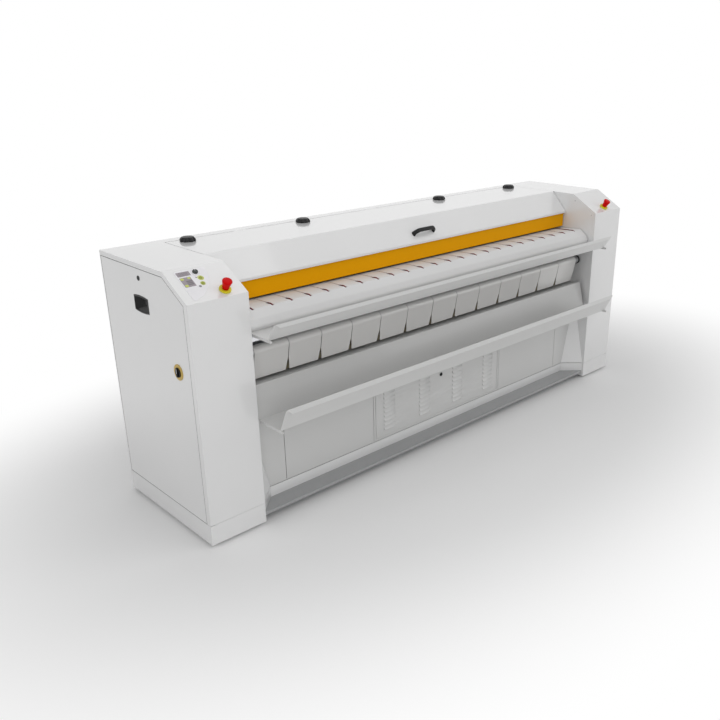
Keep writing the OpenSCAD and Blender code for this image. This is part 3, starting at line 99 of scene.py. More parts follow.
def reckon(tree, operation, *values):
    """The output of a Math node on one or two values or sockets."""
    return add(tree, "ShaderNodeMath", dict(enumerate(values)), operation=operation).outputs["Value"]


def blended(tree, first, second, share, how="MIX"):
    """The output of a node that mixes two colours."""
    mix = add(tree, "ShaderNodeMix", {6: first, 7: second, "Factor": share}, data_type="RGBA", blend_type=how)
    return mix.outputs[2]


def ramped(tree, cause, low, high):
    """The output of a node that goes from low to high as the cause goes from 0 to 1."""
    return add(tree, "ShaderNodeMapRange", {"Value": cause, "To Min": low, "To Max": high}).outputs["Result"]


def tinted(tree, surface, colour, cause, low, high):
    """Multiplies a colour by a grey that goes from low to high with the cause, and feeds the base colour."""
    paint = blended(tree, colour, ramped(tree, cause, low, high), 1.0, "MULTIPLY")
    tree.links.new(paint, surface.inputs["Base Color"])


def roughened(tree, surface, cause, rough, low, high):
    """Feeds the roughness with a value that goes from low to high times the mean with the cause."""
    tree.links.new(ramped(tree, cause, rough * low, rough * high), surface.inputs["Roughness"])


def relief(tree, surface, height, depth_mm, strength=1.0):
    """Bump of a given depth in millimetres from a height between 0 and 1."""
    bump = add(tree, "ShaderNodeBump", {"Height": height, "Strength": strength, "Distance": depth_mm * MM})
    tree.links.new(bump.outputs["Normal"], surface.inputs["Normal"])


def powder_coat(name, colour, rough, coat, peel_mm=4.0, depth_mm=0.02, shine=0.5):
    """Baked powder coat: an even colour with faint orange peel and a slow change of tone, some with a clear coat."""
    made, tree, surface = material(name, **{"Roughness": rough, "Coat Weight": coat, "Coat Roughness": 0.06,
                                            "Specular IOR Level": shine})
    place = add(tree, "ShaderNodeTexCoord").outputs["Object"]
    peel = add(tree, "ShaderNodeTexNoise", {"Vector": place, "Scale": 1 / (peel_mm * MM), "Detail": 1.0})
    wide = add(tree, "ShaderNodeTexNoise", {"Vector": place, "Scale": 1.6, "Detail": 3.0})
    tinted(tree, surface, srgb(colour), wide.outputs["Fac"], 0.965, 1.03)
    relief(tree, surface, peel.outputs["Fac"], depth_mm)
    return made


def drawn_steel(name, colour, rough, along, grain_mm=(160.0, 0.8), metallic=1.0):
    """Brushed or rolled steel: long grain lines along one axis, about a millimetre apart."""
    made, tree, surface = material(name, **{"Metallic": metallic})
    place = add(tree, "ShaderNodeTexCoord").outputs["Object"]
    scale = [1 / (grain_mm[1] * MM)] * 3
    scale["xyz".index(along)] = 1 / (grain_mm[0] * MM)
    lines = add(tree, "ShaderNodeTexNoise", {
        "Vector": add(tree, "ShaderNodeMapping", {"Vector": place, "Scale": scale}).outputs["Vector"],
        "Scale": 1.0, "Detail": 2.0})
    tinted(tree, surface, srgb(colour), lines.outputs["Fac"], 0.9, 1.06)
    roughened(tree, surface, lines.outputs["Fac"], rough, 0.8, 1.3)
    relief(tree, surface, lines.outputs["Fac"], 0.02, 0.4)
    return made


def moulded(name, colour, rough, grain_mm=1.2, depth_mm=0.05, spread=0.12, coat=0.0, shine=0.5):
    """Moulded plastic or rubber: fine spark-eroded grain from the mould and slight clouding of the pigment."""
    made, tree, surface = material(name, **{"Coat Weight": coat, "Coat Roughness": 0.1, "Specular IOR Level": shine})
    place = add(tree, "ShaderNodeTexCoord").outputs["Object"]
    grain = add(tree, "ShaderNodeTexVoronoi", {"Vector": place, "Scale": 1 / (grain_mm * MM)})
    cloud = add(tree, "ShaderNodeTexNoise", {"Vector": place, "Scale": 1 / (25 * MM), "Detail": 3.0})
    tinted(tree, surface, srgb(colour), cloud.outputs["Fac"], 1 - spread, 1 + spread)
    roughened(tree, surface, cloud.outputs["Fac"], rough, 0.85, 1.15)
    relief(tree, surface, grain.outputs["Distance"], depth_mm, 0.5)
    return made


def zinc_sheet(name, colour, rough):
    """Hot-dip zinc on sheet: crystal spangles 8 to 15 mm across, each with its own grey and its own shine."""
    made, tree, surface = material(name, **{"Metallic": 1.0})
    place = add(tree, "ShaderNodeTexCoord").outputs["Object"]
    spangle = add(tree, "ShaderNodeTexVoronoi", {"Vector": place, "Scale": 1 / (12 * MM)})
    tinted(tree, surface, srgb(colour), spangle.outputs["Color"], 0.86, 1.06)
    roughened(tree, surface, spangle.outputs["Color"], rough, 0.8, 1.3)
    return made


def waves(tree, run, scale, direction):
    """The output of a wave texture on a UV run in mm."""
    return add(tree, "ShaderNodeTexWave", {"Vector": run, "Scale": scale}, bands_direction=direction).outputs["Fac"]


def belt_cloth():
    """Needled ironing belt: polyester yarn in a plain weave, its crowns paler, with scorch-toned wear."""
    made, tree, surface = material("woven_belt_cloth", **{"Roughness": 0.9, "Sheen Weight": 0.25,
                                                          "Sheen Roughness": 0.4})
    run = add(tree, "ShaderNodeUVMap", uv_map="run").outputs["UV"]
    warp, weft = [waves(tree, run, WEAVE_SCALE, direction) for direction in "XY"]
    weave = reckon(tree, "MULTIPLY", warp, weft)
    wear = add(tree, "ShaderNodeTexNoise", {"Vector": run, "Scale": 0.02, "Detail": 4.0})
    tone = reckon(tree, "ADD", weave, wear.outputs["Fac"])
    tinted(tree, surface, srgb("#CFC3A6"), tone, 0.78, 1.0)
    relief(tree, surface, weave, 0.5, 0.7)
    return made


def cord_rubber():
    """Red polyurethane guide cord with a faint braid print: dark red where it dives over the pulleys, greyed with lint
    towards the rear, and dark red all along on the two outermost cords."""
    made, tree, surface = material("red_guide_cord", **{"Roughness": 0.5, "Specular IOR Level": 0.3})
    run = add(tree, "ShaderNodeUVMap", uv_map="run").outputs["UV"]
    braid = waves(tree, run, BRAID_SCALE, "DIAGONAL")
    place = add(tree, "ShaderNodeSeparateXYZ", {"Vector": add(tree, "ShaderNodeTexCoord").outputs["Object"]}).outputs
    lint = add(tree, "ShaderNodeMapRange", {"Value": place["Y"], "From Min": float(at(0, LINT_FROM_Y, 0)[1]),
                                            "From Max": float(at(0, LINT_TO_Y, 0)[1])})
    off_middle = reckon(tree, "ABSOLUTE", reckon(tree, "SUBTRACT", place["X"], float(SHIFT[0])))
    outermost = reckon(tree, "GREATER_THAN", off_middle, OUTERMOST_X * MM)
    plain = blended(tree, srgb("#74141F"), srgb("#9A8A82"), lint.outputs["Result"])
    both = blended(tree, plain, srgb("#661220"), outermost)
    tinted(tree, surface, both, braid, 0.8, 1.1)
    relief(tree, surface, braid, 0.15, 0.5)
    return made


# Scales of the wave textures: at these, the weave's crests lie 0.25 mm apart and the braid's 0.4 mm
WEAVE_SCALE, BRAID_SCALE = 1.273237, 1.061031
LINT_FROM_Y, LINT_TO_Y, OUTERMOST_X = 112.0, 185.0, 1180.0

WHITE = powder_coat("white_powder_coat", "#E4E4E4", 0.3, 0.9)
# Doffer tongues: the cabinets' white made a little darker as painted shade, for the shade under the upper tray
SHADE_DARKENED_TONGUE_WHITE = powder_coat("white_tongue_coat_painted_shade", "#DCDBD9", 0.34, 0.7)
GREY = powder_coat("grey_powder_coat", "#9A9B9C", 0.42, 0.3)
BASE_GREY = powder_coat("pale_grey_powder_coat", "#A2A3A4", 0.42, 0.3)
# Trays, front panels and louvred door: the cabinets' white made darker as painted shade, for the shade the trays and
# hood cast on them
SHADE_DARKENED_SHEET_WHITE = powder_coat("white_sheet_coat_painted_shade", "#D2D2D1", 0.36, 0.5)
# Chute: the cabinets' white made darker still as painted shade, for the shade under the feed table and the upper tray
SHADE_DARKENED_CHUTE_WHITE = powder_coat("white_chute_coat_painted_shade", "#C6C6C5", 0.42, 0.3)
# Feed table: a matt white a little darker than the cabinets'; the darker tone is painted shade from the guard and hood
# above it
TABLE_WHITE = powder_coat("matt_white_table_coat", "#DEDEDE", 0.62, 0.0, 4.0, 0.02, 0.12)
DIAL_GREY = moulded("dark_grey_dial_plastic", "#363B37", 0.42, shine=0.3)
YELLOW_PAINT = powder_coat("yellow_enamel", "#E8A200", 0.5, 0.0, 4.0, 0.02, 0.06)
STEEL = drawn_steel("brushed_steel", "#B9BABC", 0.32, "x")
CHROME = drawn_steel("polished_chrome_roll", "#D8D9DC", 0.12, "x", (400.0, 1.2))
ZINC = zinc_sheet("galvanised_sheet", "#A9ACB0", 0.38)
BLACK = moulded("black_glass_filled_nylon", "#0C0D0E", 0.45, shine=0.25)
BLACK_SATIN = moulded("black_thermoset_grip", "#0C0D0E", 0.36, 2.0, 0.03, 0.1, 0.0, 0.25)
BLACK_GLOSS = moulded("black_polished_pull", "#060708", 0.22, 2.0, 0.01, 0.1, 0.0, 0.2)
# Black of the door-seam gasket: painted shade that makes the seam read as a dark line
SEAM_SHADE_BLACK = moulded("black_gasket_painted_seam_shade", "#1C1C1D", 0.9, 0.8, 0.1, shine=0.1)
RUBBER = moulded("black_foot_rubber", "#1C1C1C", 0.78, 0.8, 0.08)
RED = moulded("red_glossy_plastic", "#D20004", 0.4, 1.5, 0.02, 0.05, 0.0, 0.1)
YELLOW = moulded("yellow_plastic_collar", "#D8CC22", 0.42, 1.5, 0.03, 0.06, shine=0.3)
OCHRE = moulded("yellow_switch_plate", "#C9A94E", 0.4, 1.5, 0.03, 0.06)
GREEN = moulded("green_push_button", "#97A03A", 0.38, 1.2, 0.02, 0.08, 0.1, 0.3)
FILM = moulded("printed_polyester_film", "#EDECEF", 0.3, 0.9, 0.012, 0.02, 0.1)
FILM_GREY = moulded("grey_film_print", "#8C8A8F", 0.32, 0.9, 0.012, 0.03, 0.1)
LIME = moulded("lime_film_print", "#C6CE5C", 0.32, 0.9, 0.012, 0.03, 0.1)
GLASS = moulded("tinted_display_window", "#938A90", 0.2, 3.0, 0.004, 0.04, 0.3, 0.4)
SEGMENT = moulded("dark_display_segments", "#625B61", 0.3, 2.0, 0.004, 0.04)
MOTOR_GREY = powder_coat("grey_machine_enamel", "#6E757B", 0.45, 0.2)
CLOTH = belt_cloth()
CORD = cord_rubber()
FINISH = {"white_paint": WHITE, "grey_paint": GREY, "bare_steel": STEEL, "polished_roll": CHROME, "zinc_sheet": ZINC,
          "belt_cloth": CLOTH, "red_cord": CORD, "black_plastic": BLACK, "foot_rubber": RUBBER,
          "yellow_paint": YELLOW_PAINT, "yellow_plastic": YELLOW, "red_plastic": RED, "green_plastic": GREEN,
          "panel_film": FILM}
# Pieces with paints of their own; the darker whites among them are painted shade, not colours the pieces are known to
# have
OWN_FINISH = {"feed_table": TABLE_WHITE, "chute_plate": SHADE_DARKENED_CHUTE_WHITE, "upper_tray": SHADE_DARKENED_SHEET_WHITE,
              "lower_tray": SHADE_DARKENED_SHEET_WHITE, "front_panels": SHADE_DARKENED_SHEET_WHITE, "louvred_door": SHADE_DARKENED_SHEET_WHITE,
              "doffer_tongues": SHADE_DARKENED_TONGUE_WHITE, "gearmotor": MOTOR_GREY, "electrical_box": GREY, "switch_plate": OCHRE,
              "base_plate": BASE_GREY}
for node, piece in NODES.items():
    piece.data.materials.clear()
    piece.data.materials.append(OWN_FINISH.get(node, FINISH.get(SLOT_OF.get(node), GREY)))


def settle(piece, finish, body, nodes):
    """Gives a new piece its finish, body, material slot and the CAD nodes that it stands for."""
    bpy.context.scene.collection.objects.link(piece)
    piece.data.materials.clear()
    piece.data.materials.append(finish)
    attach(piece, body)
    if nodes:
        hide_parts(*nodes)
    return piece


def bevelled(piece, width_mm, segments=2, limit=40):
    """A live Bevel modifier on edges sharper than the limit, as the radius of a fold or the break of a mould edge."""
    edge = piece.modifiers.new("rounded edges", "BEVEL")
    edge.width = width_mm * MM
    edge.segments = segments
    edge.limit_method = "ANGLE"
    edge.angle_limit = math.radians(limit)
    edge.harden_normals = True
    return piece


def softened(node, width_mm=0.8, segments=2, limit=40):
    """A merged copy of a CAD node with rounded edges, which stands for it."""
    sheet = bpy.data.meshes.new(node + "_dressed")
    work = bmesh.new()
    work.from_mesh(NODES[node].data)
    bmesh.ops.remove_doubles(work, verts=work.verts, dist=0.02 * MM)
    bmesh.ops.dissolve_limit(work, angle_limit=math.radians(0.5), verts=work.verts, edges=work.edges)
    for face in work.faces:
        face.smooth = True
    work.to_mesh(sheet)
    work.free()
    sheet.set_sharp_from_angle(angle=math.radians(limit))
    piece = bpy.data.objects.new(node + "_dressed", sheet)
    settle(piece, NODES[node].data.materials[0], BODY_OF[node], [node])
    return bevelled(piece, width_mm, segments, limit)


def cells(rows, columns, closed_run, first):
    """Quads that join a grid's points: columns close on themselves, rows only where the run is closed."""
    row = np.arange(rows if closed_run else rows - 1)[:, None] * columns
    column = np.arange(columns)[None, :]
    ahead = (row + columns) % (rows * columns)
    beside = (column + 1) % columns
    return (first + np.stack([row + column, row + beside, ahead + beside, ahead + column], -1)).reshape(-1, 4)


def solid(name, grids, finish, body, nodes=(), sharp=40, run=None):
    """One mesh from closed grids [row, column, xyz]: each is a skin whose columns go round it and whose end rows are
    closed with a face, or a ring where its third entry says that the run closes on itself."""
    points, faces, first = [], [], 0
    for grid, closed_run in [(g if isinstance(g, tuple) else (g, False)) for g in grids]:
        rows, columns = grid.shape[:2]
        points.append(grid.reshape(-1, 3))
        faces += cells(rows, columns, closed_run, first).tolist()
        if not closed_run:
            faces.append((first + np.arange(columns)[::-1]).tolist())
            faces.append((first + (rows - 1) * columns + np.arange(columns)).tolist())
        first += rows * columns
    mesh = bpy.data.meshes.new(name)
    mesh.from_pydata(np.concatenate(points).tolist(), [], faces)
    if run is not None:
        layer = mesh.uv_layers.new(name="run")
        corners = np.empty(len(mesh.loops), int)
        mesh.loops.foreach_get("vertex_index", corners)
        layer.data.foreach_set("uv", np.concatenate(run)[corners].ravel())
    work = bmesh.new()
    work.from_mesh(mesh)
    bmesh.ops.recalc_face_normals(work, faces=work.faces)
    for face in work.faces:
        face.smooth = True
    work.to_mesh(mesh)
    work.free()
    mesh.set_sharp_from_angle(angle=math.radians(sharp))
    return settle(bpy.data.objects.new(name, mesh), finish, body, nodes)


def axes(normal, up=(0, 0, 1)):
    """Three unit vectors: across, up and the normal."""
    normal = np.array(normal, float) / np.linalg.norm(normal)
    across = np.cross(up, normal)
    across /= np.linalg.norm(across)
    return across, np.cross(normal, across), normal


def turned(profile, centre, normal, sides=40, swell=None):
    """A profile [radius, height] in mm turned about an axis; swell multiplies the radius by turn and row."""
    across, upward, outward = axes(normal, (0, 0, 1) if abs(normal[2]) < 0.9 else (0, 1, 0))
    profile = np.array(profile, float)
    turn = np.linspace(0, 2 * np.pi, sides, endpoint=False)
    radius = np.repeat(profile[:, :1], sides, 1)
    if swell is not None:
        radius = radius * swell(turn[None, :], np.linspace(0, 1, len(profile))[:, None])
    flat = radius[..., None] * (np.cos(turn)[:, None] * across + np.sin(turn)[:, None] * upward)
    return np.asarray(centre) + (flat + profile[:, 1][:, None, None] * outward) * MM


def slab(outline, origin, normal, low, high, up=(0, 0, 1), rim=0.0):
    """A flat outline [across, up] in mm between two heights, its upper edge drawn in by rim."""
    across, upward, outward = axes(normal, up)
    outline = np.array(outline, float)
    inward = outline - np.sign(outline - outline.mean(0)) * rim
    rows = [(outline, low), (outline, high - rim * 0.6), (inward, high)] if rim else [(outline, low), (outline, high)]
    return np.stack([np.asarray(origin) + (o[:, :1] * across + o[:, 1:] * upward + h * outward) * MM for o, h in rows])


def rounded_box(width, height, radius, corner=5):
    """Outline of a rectangle about zero with round corners: quarter circles set in from each corner."""
    turn = (np.linspace(0, np.pi / 2, corner)[None, :] + np.arange(4)[:, None] * np.pi / 2).ravel()
    sign = np.repeat([[1, 1], [-1, 1], [-1, -1], [1, -1]], corner, 0)
    return sign * [width / 2 - radius, height / 2 - radius] + radius * np.stack([np.cos(turn), np.sin(turn)], 1)


def swept(path, section, across):
    """A section [side, out] in mm, one per point of a flat path, carried along it; across is the path's flat normal."""
    path = np.asarray(path)
    ahead = np.gradient(path, axis=0)
    ahead /= np.linalg.norm(ahead, axis=1)[:, None]
    across = np.array(across, float)
    outward = np.cross(ahead, across)
    section = np.broadcast_to(section, (len(path),) + np.shape(section)[-2:])
    return path[:, None] + (section[..., :1] * across + section[..., 1:] * outward[:, None]) * MM


def eased(points, count):
    """A smooth line through points: each coordinate goes through them by Hermite pieces with averaged slopes."""
    points = np.array(points, float)
    slope = np.gradient(points, axis=0)
    share = np.linspace(0, len(points) - 1 - 1e-9, count)
    k, t = share.astype(int), (share % 1)[:, None]
    p, q, m, n = points[k], points[k + 1], slope[k], slope[k + 1]
    return (2 * t**3 - 3 * t**2 + 1) * p + (t**3 - 2 * t**2 + t) * m + (3 * t**2 - 2 * t**3) * q + (t**3 - t**2) * n


# Closed bands round wheels, each [y, z, radius], negative where the band passes the other way round
def run_angle(a, b):
    """Direction of the straight run between two wheels."""
    lean = (b[2] - a[2]) / math.hypot(b[0] - a[0], b[1] - a[1])
    return math.atan2(b[1] - a[1], b[0] - a[0]) - math.asin(max(-1.0, min(1.0, lean)))


def band(wheels, lift, steps=24):
    """Path of a band: an arc on each wheel between its two runs, lifted off the wheels towards the outside."""
    arcs = []
    for i, wheel in enumerate(wheels):
        into = run_angle(wheels[i - 1], wheel)
        out = run_angle(wheel, wheels[(i + 1) % len(wheels)])
        turn = (out - into) % (2 * np.pi) if wheel[2] > 0 else -((into - out) % (2 * np.pi))
        angle = into + turn * np.linspace(0, 1, max(4, int(steps * abs(turn) / np.pi)))
        arcs.append(np.array(wheel[:2]) - (wheel[2] + lift) * np.stack([-np.sin(angle), np.cos(angle)], 1))
    return np.concatenate(arcs)


def lengths(path):
    """Distance along a path from its first point, in its own unit."""
    return np.concatenate([[0], np.cumsum(np.linalg.norm(np.diff(path, axis=0), axis=1))])


def squared(wave, power):
    """A sine or cosine raised to a power with its sign kept, which squares the corners of a circle."""
    return np.sign(wave) * np.abs(wave) ** power


def looped(path, run, x, side, out, run_side):
    """A section [side, out] in mm carried round a closed path [y, z] at x from the machine's middle, as a closed skin
    with its UV points: run_side round the section and run along the path."""
    middle = at(*np.column_stack([np.full(len(path), x), path]).ravel())
    ahead = np.roll(path, -1, 0) - np.roll(path, 1, 0)
    ahead /= np.linalg.norm(ahead, axis=1)[:, None]
    outward = np.stack([np.zeros(len(ahead)), ahead[:, 1], -ahead[:, 0]], 1)
    grid = middle[:, None] + (side[..., None] * np.array([1.0, 0, 0]) + out[..., None] * outward[:, None]) * MM
    return (grid, True), np.stack(np.broadcast_arrays(run_side[None, :], run[:, None]), -1).reshape(-1, 2)


# Sheet metal, with the small radius that folding leaves
for node in ("left_cabinet", "right_cabinet", "plinths", "frame_plates", "kick_strip", "front_panels", "front_cheeks",
             "rear_cover", "right_side_cover", "left_side_door", "louvred_door", "base_plate", "cross_beams",
             "electrical_box", "gearmotor"):
    softened(node, 0.7)
for node in ("upper_tray", "lower_tray", "chute_plate", "feed_table", "doffer_tongues", "finger_guard", "hood_lid"):
    softened(node, 0.5)

# Ironing belts: bands of cloth with soft edges, which run a little clear of their rollers
ROLL_Y, ROLL_Z, ROLL_R, GUIDE_R, REAR_R = 330, 800, 175, 25, 30
REAR_Y, LOW_Z, HIGH_Z = 600, 600, 1010
BELT_COUNT, BELT_GAP, BELT_T, BELT_CLEAR = 13, 13.0, 3.0, 0.8
GUIDE_DIST = ROLL_R + GUIDE_R + 2 * BELT_CLEAR + BELT_T
nip, outlet = [[ROLL_Y + GUIDE_DIST * math.cos(math.radians(w)), ROLL_Z + GUIDE_DIST * math.sin(math.radians(w))]
               for w in (75, 235)]
BELT_WHEELS = [[*outlet, GUIDE_R + BELT_CLEAR], [REAR_Y, LOW_Z, REAR_R + BELT_CLEAR],
               [REAR_Y, HIGH_Z, REAR_R + BELT_CLEAR], [*nip, GUIDE_R + BELT_CLEAR],
               [ROLL_Y, ROLL_Z, -ROLL_R - BELT_T - BELT_CLEAR]]
belts_low, belts_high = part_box("ironing_belts")
BELT_PITCH = ((belts_high.x - belts_low.x) / MM + BELT_GAP) / BELT_COUNT
belt_line = band(BELT_WHEELS, BELT_T / 2)
belt_turn = np.linspace(0, 2 * np.pi, 12, endpoint=False)
belt_side = squared(np.cos(belt_turn), 0.35) * (BELT_PITCH - BELT_GAP) / 2
belt_out = squared(np.sin(belt_turn), 0.6) * BELT_T / 2 * 0.96
belts = [looped(belt_line, lengths(belt_line), (k - (BELT_COUNT - 1) / 2) * BELT_PITCH, belt_side, belt_out, belt_side)
         for k in range(BELT_COUNT)]
solid("woven_ironing_belts", [b[0] for b in belts], CLOTH, "machine", ["ironing_belts"], 60,
      [b[1] for b in belts])

# Guide cords: round red cords, each thicker where it dives over its pulley on the feed roller. Two wheels: pulley, bar
CORD_WHEELS = [[118.0, 984.0, -25.4], [274.0, 997.2, -6.4]]
CORD_COUNT, CORD_SPAN, CORD_R, DIVE_R, OUTERMOST_R = 24, 2474, 0.9, 3.0, 2.2
DIVE_Y, DIVE_L, CORD_POINTS = 150, 36, 120
cord_line = band(CORD_WHEELS, -2.0, 40)
cord_run = np.linspace(0, lengths(cord_line)[-1], CORD_POINTS)
cord_line = np.stack([np.interp(cord_run, lengths(cord_line), cord_line[:, i]) for i in (0, 1)], 1)
near_front = np.clip((DIVE_Y - cord_line[:, 0]) / DIVE_L, 0, 1) * (cord_line[:, 1] > CORD_WHEELS[0][1])
cord_r = CORD_R + (DIVE_R - CORD_R) * near_front**2 * (3 - 2 * near_front)


def guide_cord(k):
    """One cord: a circle whose radius swells near the table's front edge, carried round the closed path."""
    turn = np.linspace(0, 2 * np.pi, 8, endpoint=False)
    thick = np.maximum(cord_r, OUTERMOST_R) if k in (0, CORD_COUNT - 1) else cord_r
    x = -CORD_SPAN / 2 + k * CORD_SPAN / (CORD_COUNT - 1)
    return looped(cord_line, cord_run, x, thick[:, None] * np.cos(turn), thick[:, None] * np.sin(turn),
                  turn * DIVE_R)


cords = [guide_cord(k) for k in range(CORD_COUNT)]
solid("red_guide_cords", [c[0] for c in cords], CORD, "machine", ["guide_cords"], 60,
      [c[1] for c in cords])

# The cabinets' slope and the hood's slope as drawing boards: across, up the slope, and out of it
HOOD_FOOT_Y, HOOD_FOOT_Z, HOOD_D, HOOD_RISE = 233, 1113, 107, 117
SLOPE_L = math.hypot(SLOPE_D, CABINET_H - SLOPE_FOOT)


def slope_axes(rise, depth):
    """Unit vectors up a slope and out of it."""
    lean = math.atan2(rise, depth)
    return np.array([0, math.cos(lean), math.sin(lean)]), np.array([0, -math.sin(lean), math.cos(lean)])


SLOPE_UP, SLOPE_N = slope_axes(CABINET_H - SLOPE_FOOT, SLOPE_D)
HOOD_UP, HOOD_N = slope_axes(HOOD_RISE, HOOD_D)


def on_slope(x, up, out=0.0):
    """A place on the cabinets' slope, x from the machine's middle."""
    return at(x, 0, SLOPE_FOOT) + (SLOPE_UP * up + SLOPE_N * out) * MM


def on_hood(x, up, out=0.0):
    """A place on the hood's slope, measured up from its front fold."""
    return at(x, HOOD_FOOT_Y, HOOD_FOOT_Z) + (HOOD_UP * up + HOOD_N * out) * MM


# Hood handle: an arch of rounded section that thickens towards its two feet
HANDLE_X, HANDLE_UP, HANDLE_HALF_W, HANDLE_HALF_T = 8.0, 52.0, 11.5, 6.4
arch = eased([[-76, -0.5], [-75, 10], [-70, 22], [-57, 32.5], [-38, 35.2], [0, 35.6], [38, 35.2], [57, 32.5], [70, 22],
              [75, 10], [76, -0.5]], 61)
turn = np.linspace(0, 2 * np.pi, 20, endpoint=False)
bulge = np.stack([squared(np.cos(turn), 0.75), squared(np.sin(turn), 0.75)], 1)
stout = 1 + 0.22 * np.clip(1 - arch[:, 1] / 22, 0, 1)
grip = bulge[None] * np.stack([HANDLE_HALF_W * stout, HANDLE_HALF_T * stout], 1)[:, None]
path = np.array([on_hood(HANDLE_X + s, HANDLE_UP, h) for s, h in arch])
solid("arched_hood_handle", [swept(path, grip, HOOD_UP)], BLACK_SATIN, "hood", ["hood_handle"])

# Hand knobs: eight lobes at the rim that fade into a smaller domed top, on a stud with a catch
KNOB_X, KNOB_Y = [c * INNER_X for c in (-0.926, -0.403, 0.403, 0.926)], 645.0
knob_side = [[33, 0.4], [38.5, 1.2], [39.8, 4], [39.2, 8], [36.5, 13], [33, 17], [30.5, 19.6], [28.5, 20.7], [25, 21],
             [21, 20.6], [19.5, 19.9], [17, 19.9], [16, 20.8], [9, 21.2], [0.5, 21.3]]


def lobes(turn, row):
    """Radius factor of the eight grip lobes, deepest at mid height and gone at the crown."""
    return 1 - 0.15 * np.exp(-((row - 0.22) / 0.22) ** 2) * (0.5 - 0.5 * np.cos(8 * turn)) ** 1.5


for k, x in enumerate(KNOB_X):
    centre = at(x, KNOB_Y, CABINET_H)
    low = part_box("hood_knob_%d" % (k + 1))[0].z
    drop = (centre[2] - low) / MM
    stud = turned([[4, -drop], [4, 1]], centre, (0, 0, 1), 20)
    catch = slab([[-32, -4], [-32, 4], [0, 4], [0, -4]], centre, (0, 0, 1), -drop, -drop + 4, (0, 1, 0))
    solid("lobed_hand_knob_%d" % (k + 1), [turned(knob_side, centre, (0, 0, 1), 96, lobes), stud, catch], BLACK_SATIN,
          "knob_%d" % (k + 1), ["hood_knob_%d" % (k + 1)], 50)

# Mushroom stop buttons: a waisted red head with a soft crown, its neck down in the collar
STOPS = {"left": -OUTER_X + 200, "right": OUTER_X - 150}
STOP_UP = 40
mushroom = [[12.5, -15], [12.5, 11], [14.2, 13.6], [15.4, 14.6], [15.8, 20], [16.8, 27], [18.6, 35], [20.4, 42],
            [21.5, 46.5], [21.4, 49], [20.2, 51.2], [17.5, 52.3], [11, 52.8], [4, 53], [0.4, 53]]
for side, x in STOPS.items():
    head = turned(mushroom, on_slope(x, STOP_UP), SLOPE_N, 48)
    flange = turned([[18.6, -18], [18.6, -15.2]], on_slope(x, STOP_UP), SLOPE_N, 32)
    solid("red_stop_button_" + side, [head, flange], RED, "stop_" + side, ["stop_button_" + side], 55)

# Collars, locks, caps, feet and screws start from the solids and get moulded edges
softened("stop_collars", 2.2, 3, 30)
for node, width in (("side_lock", 0.6), ("louvred_door_lock", 0.6), ("tongue_caps", 1.5), ("cable_gland", 0.8),
                    ("feet", 1.2), ("fan_housing", 0.8), ("switch_plate", 0.9), ("screws", 0.5)):
    softened(node, width, 2, 35)


def panel_point(share_x, share_up):
    """A place on the control overlay, in shares of the cabinet's width and the slope's length."""
    return -OUTER_X + share_x * CABINET_W, share_up * SLOPE_L


def patch(low, high, bottom, top, radius, rim=0.0):
    """A thin rounded plate on the overlay between two corners given in shares."""
    (x0, s0), (x1, s1) = panel_point(*low), panel_point(*high)
    outline = rounded_box(x1 - x0, s1 - s0, radius)
    return slab(outline, on_slope((x0 + x1) / 2, (s0 + s1) / 2), SLOPE_N, bottom, top, (0, 0, 1), rim)


softened("control_panel", 0.3, 2, 40)
WINDOWS = [((0.166, 0.757), (0.372, 0.881)), ((0.166, 0.45), (0.338, 0.723))]
KEYS = [((0.172, 0.652), (0.222, 0.712)), ((0.176, 0.458), (0.226, 0.518)), ((0.285, 0.668), (0.332, 0.714))]
solid("display_windows", [patch(*w, 1.2, 1.75, 2.5) for w in WINDOWS], GLASS, "machine")
solid("lime_membrane_keys", [patch(*k, 1.7, 2.05, 2.0, 0.2) for k in KEYS], LIME, "machine")

# Unlit seven-part digits on the upper display and three text bars on the lower one. Each part of a digit is
# [across, up, lies flat], across in shares of the digit's width and up in shares of its half height
DIGIT_PARTS = [[0, 1, 1], [0, 0, 1], [0, -1, 1], [-0.5, 0.5, 0], [0.5, 0.5, 0], [-0.5, -0.5, 0], [0.5, -0.5, 0]]
DIGIT_W, DIGIT_HALF_H, DIGIT_PITCH, PART_T = 8.2, 7.4, 14, 1.7
SEGMENT_LOW, SEGMENT_HIGH = 1.7, 1.85


def digit(x, up):
    """The seven parts about a place on the overlay."""
    return [slab(rounded_box(*((6.4, PART_T) if flat else (PART_T, 6.0)), 0.8, 3),
                 on_slope(x + across * DIGIT_W, up + above * DIGIT_HALF_H), SLOPE_N, SEGMENT_LOW, SEGMENT_HIGH)
            for across, above, flat in DIGIT_PARTS]


first_x, digit_up = panel_point(0.215, 0.819)
figures = [part for k in range(3) for part in digit(first_x + k * DIGIT_PITCH, digit_up)]
text_bars = [patch((0.235, 0.50 + 0.045 * k), (0.325, 0.53 + 0.045 * k), SEGMENT_LOW, SEGMENT_HIGH, 1.0)
             for k in range(3)]
solid("display_figures", figures + text_bars, SEGMENT, "machine")
lens = turned([[2.4, 0.9], [2.4, 1.8], [1.6, 2.4], [0.2, 2.6]], on_slope(-OUTER_X + 121, 140), SLOPE_N, 20)
solid("indicator_lens", [lens], BLACK, "machine")
grey_key = turned([[6, 0.9], [6, 1.7], [5, 2.0], [0.3, 2.1]], on_slope(-OUTER_X + 111, 87), SLOPE_N, 28)
solid("grey_membrane_key", [grey_key], FILM_GREY, "machine")

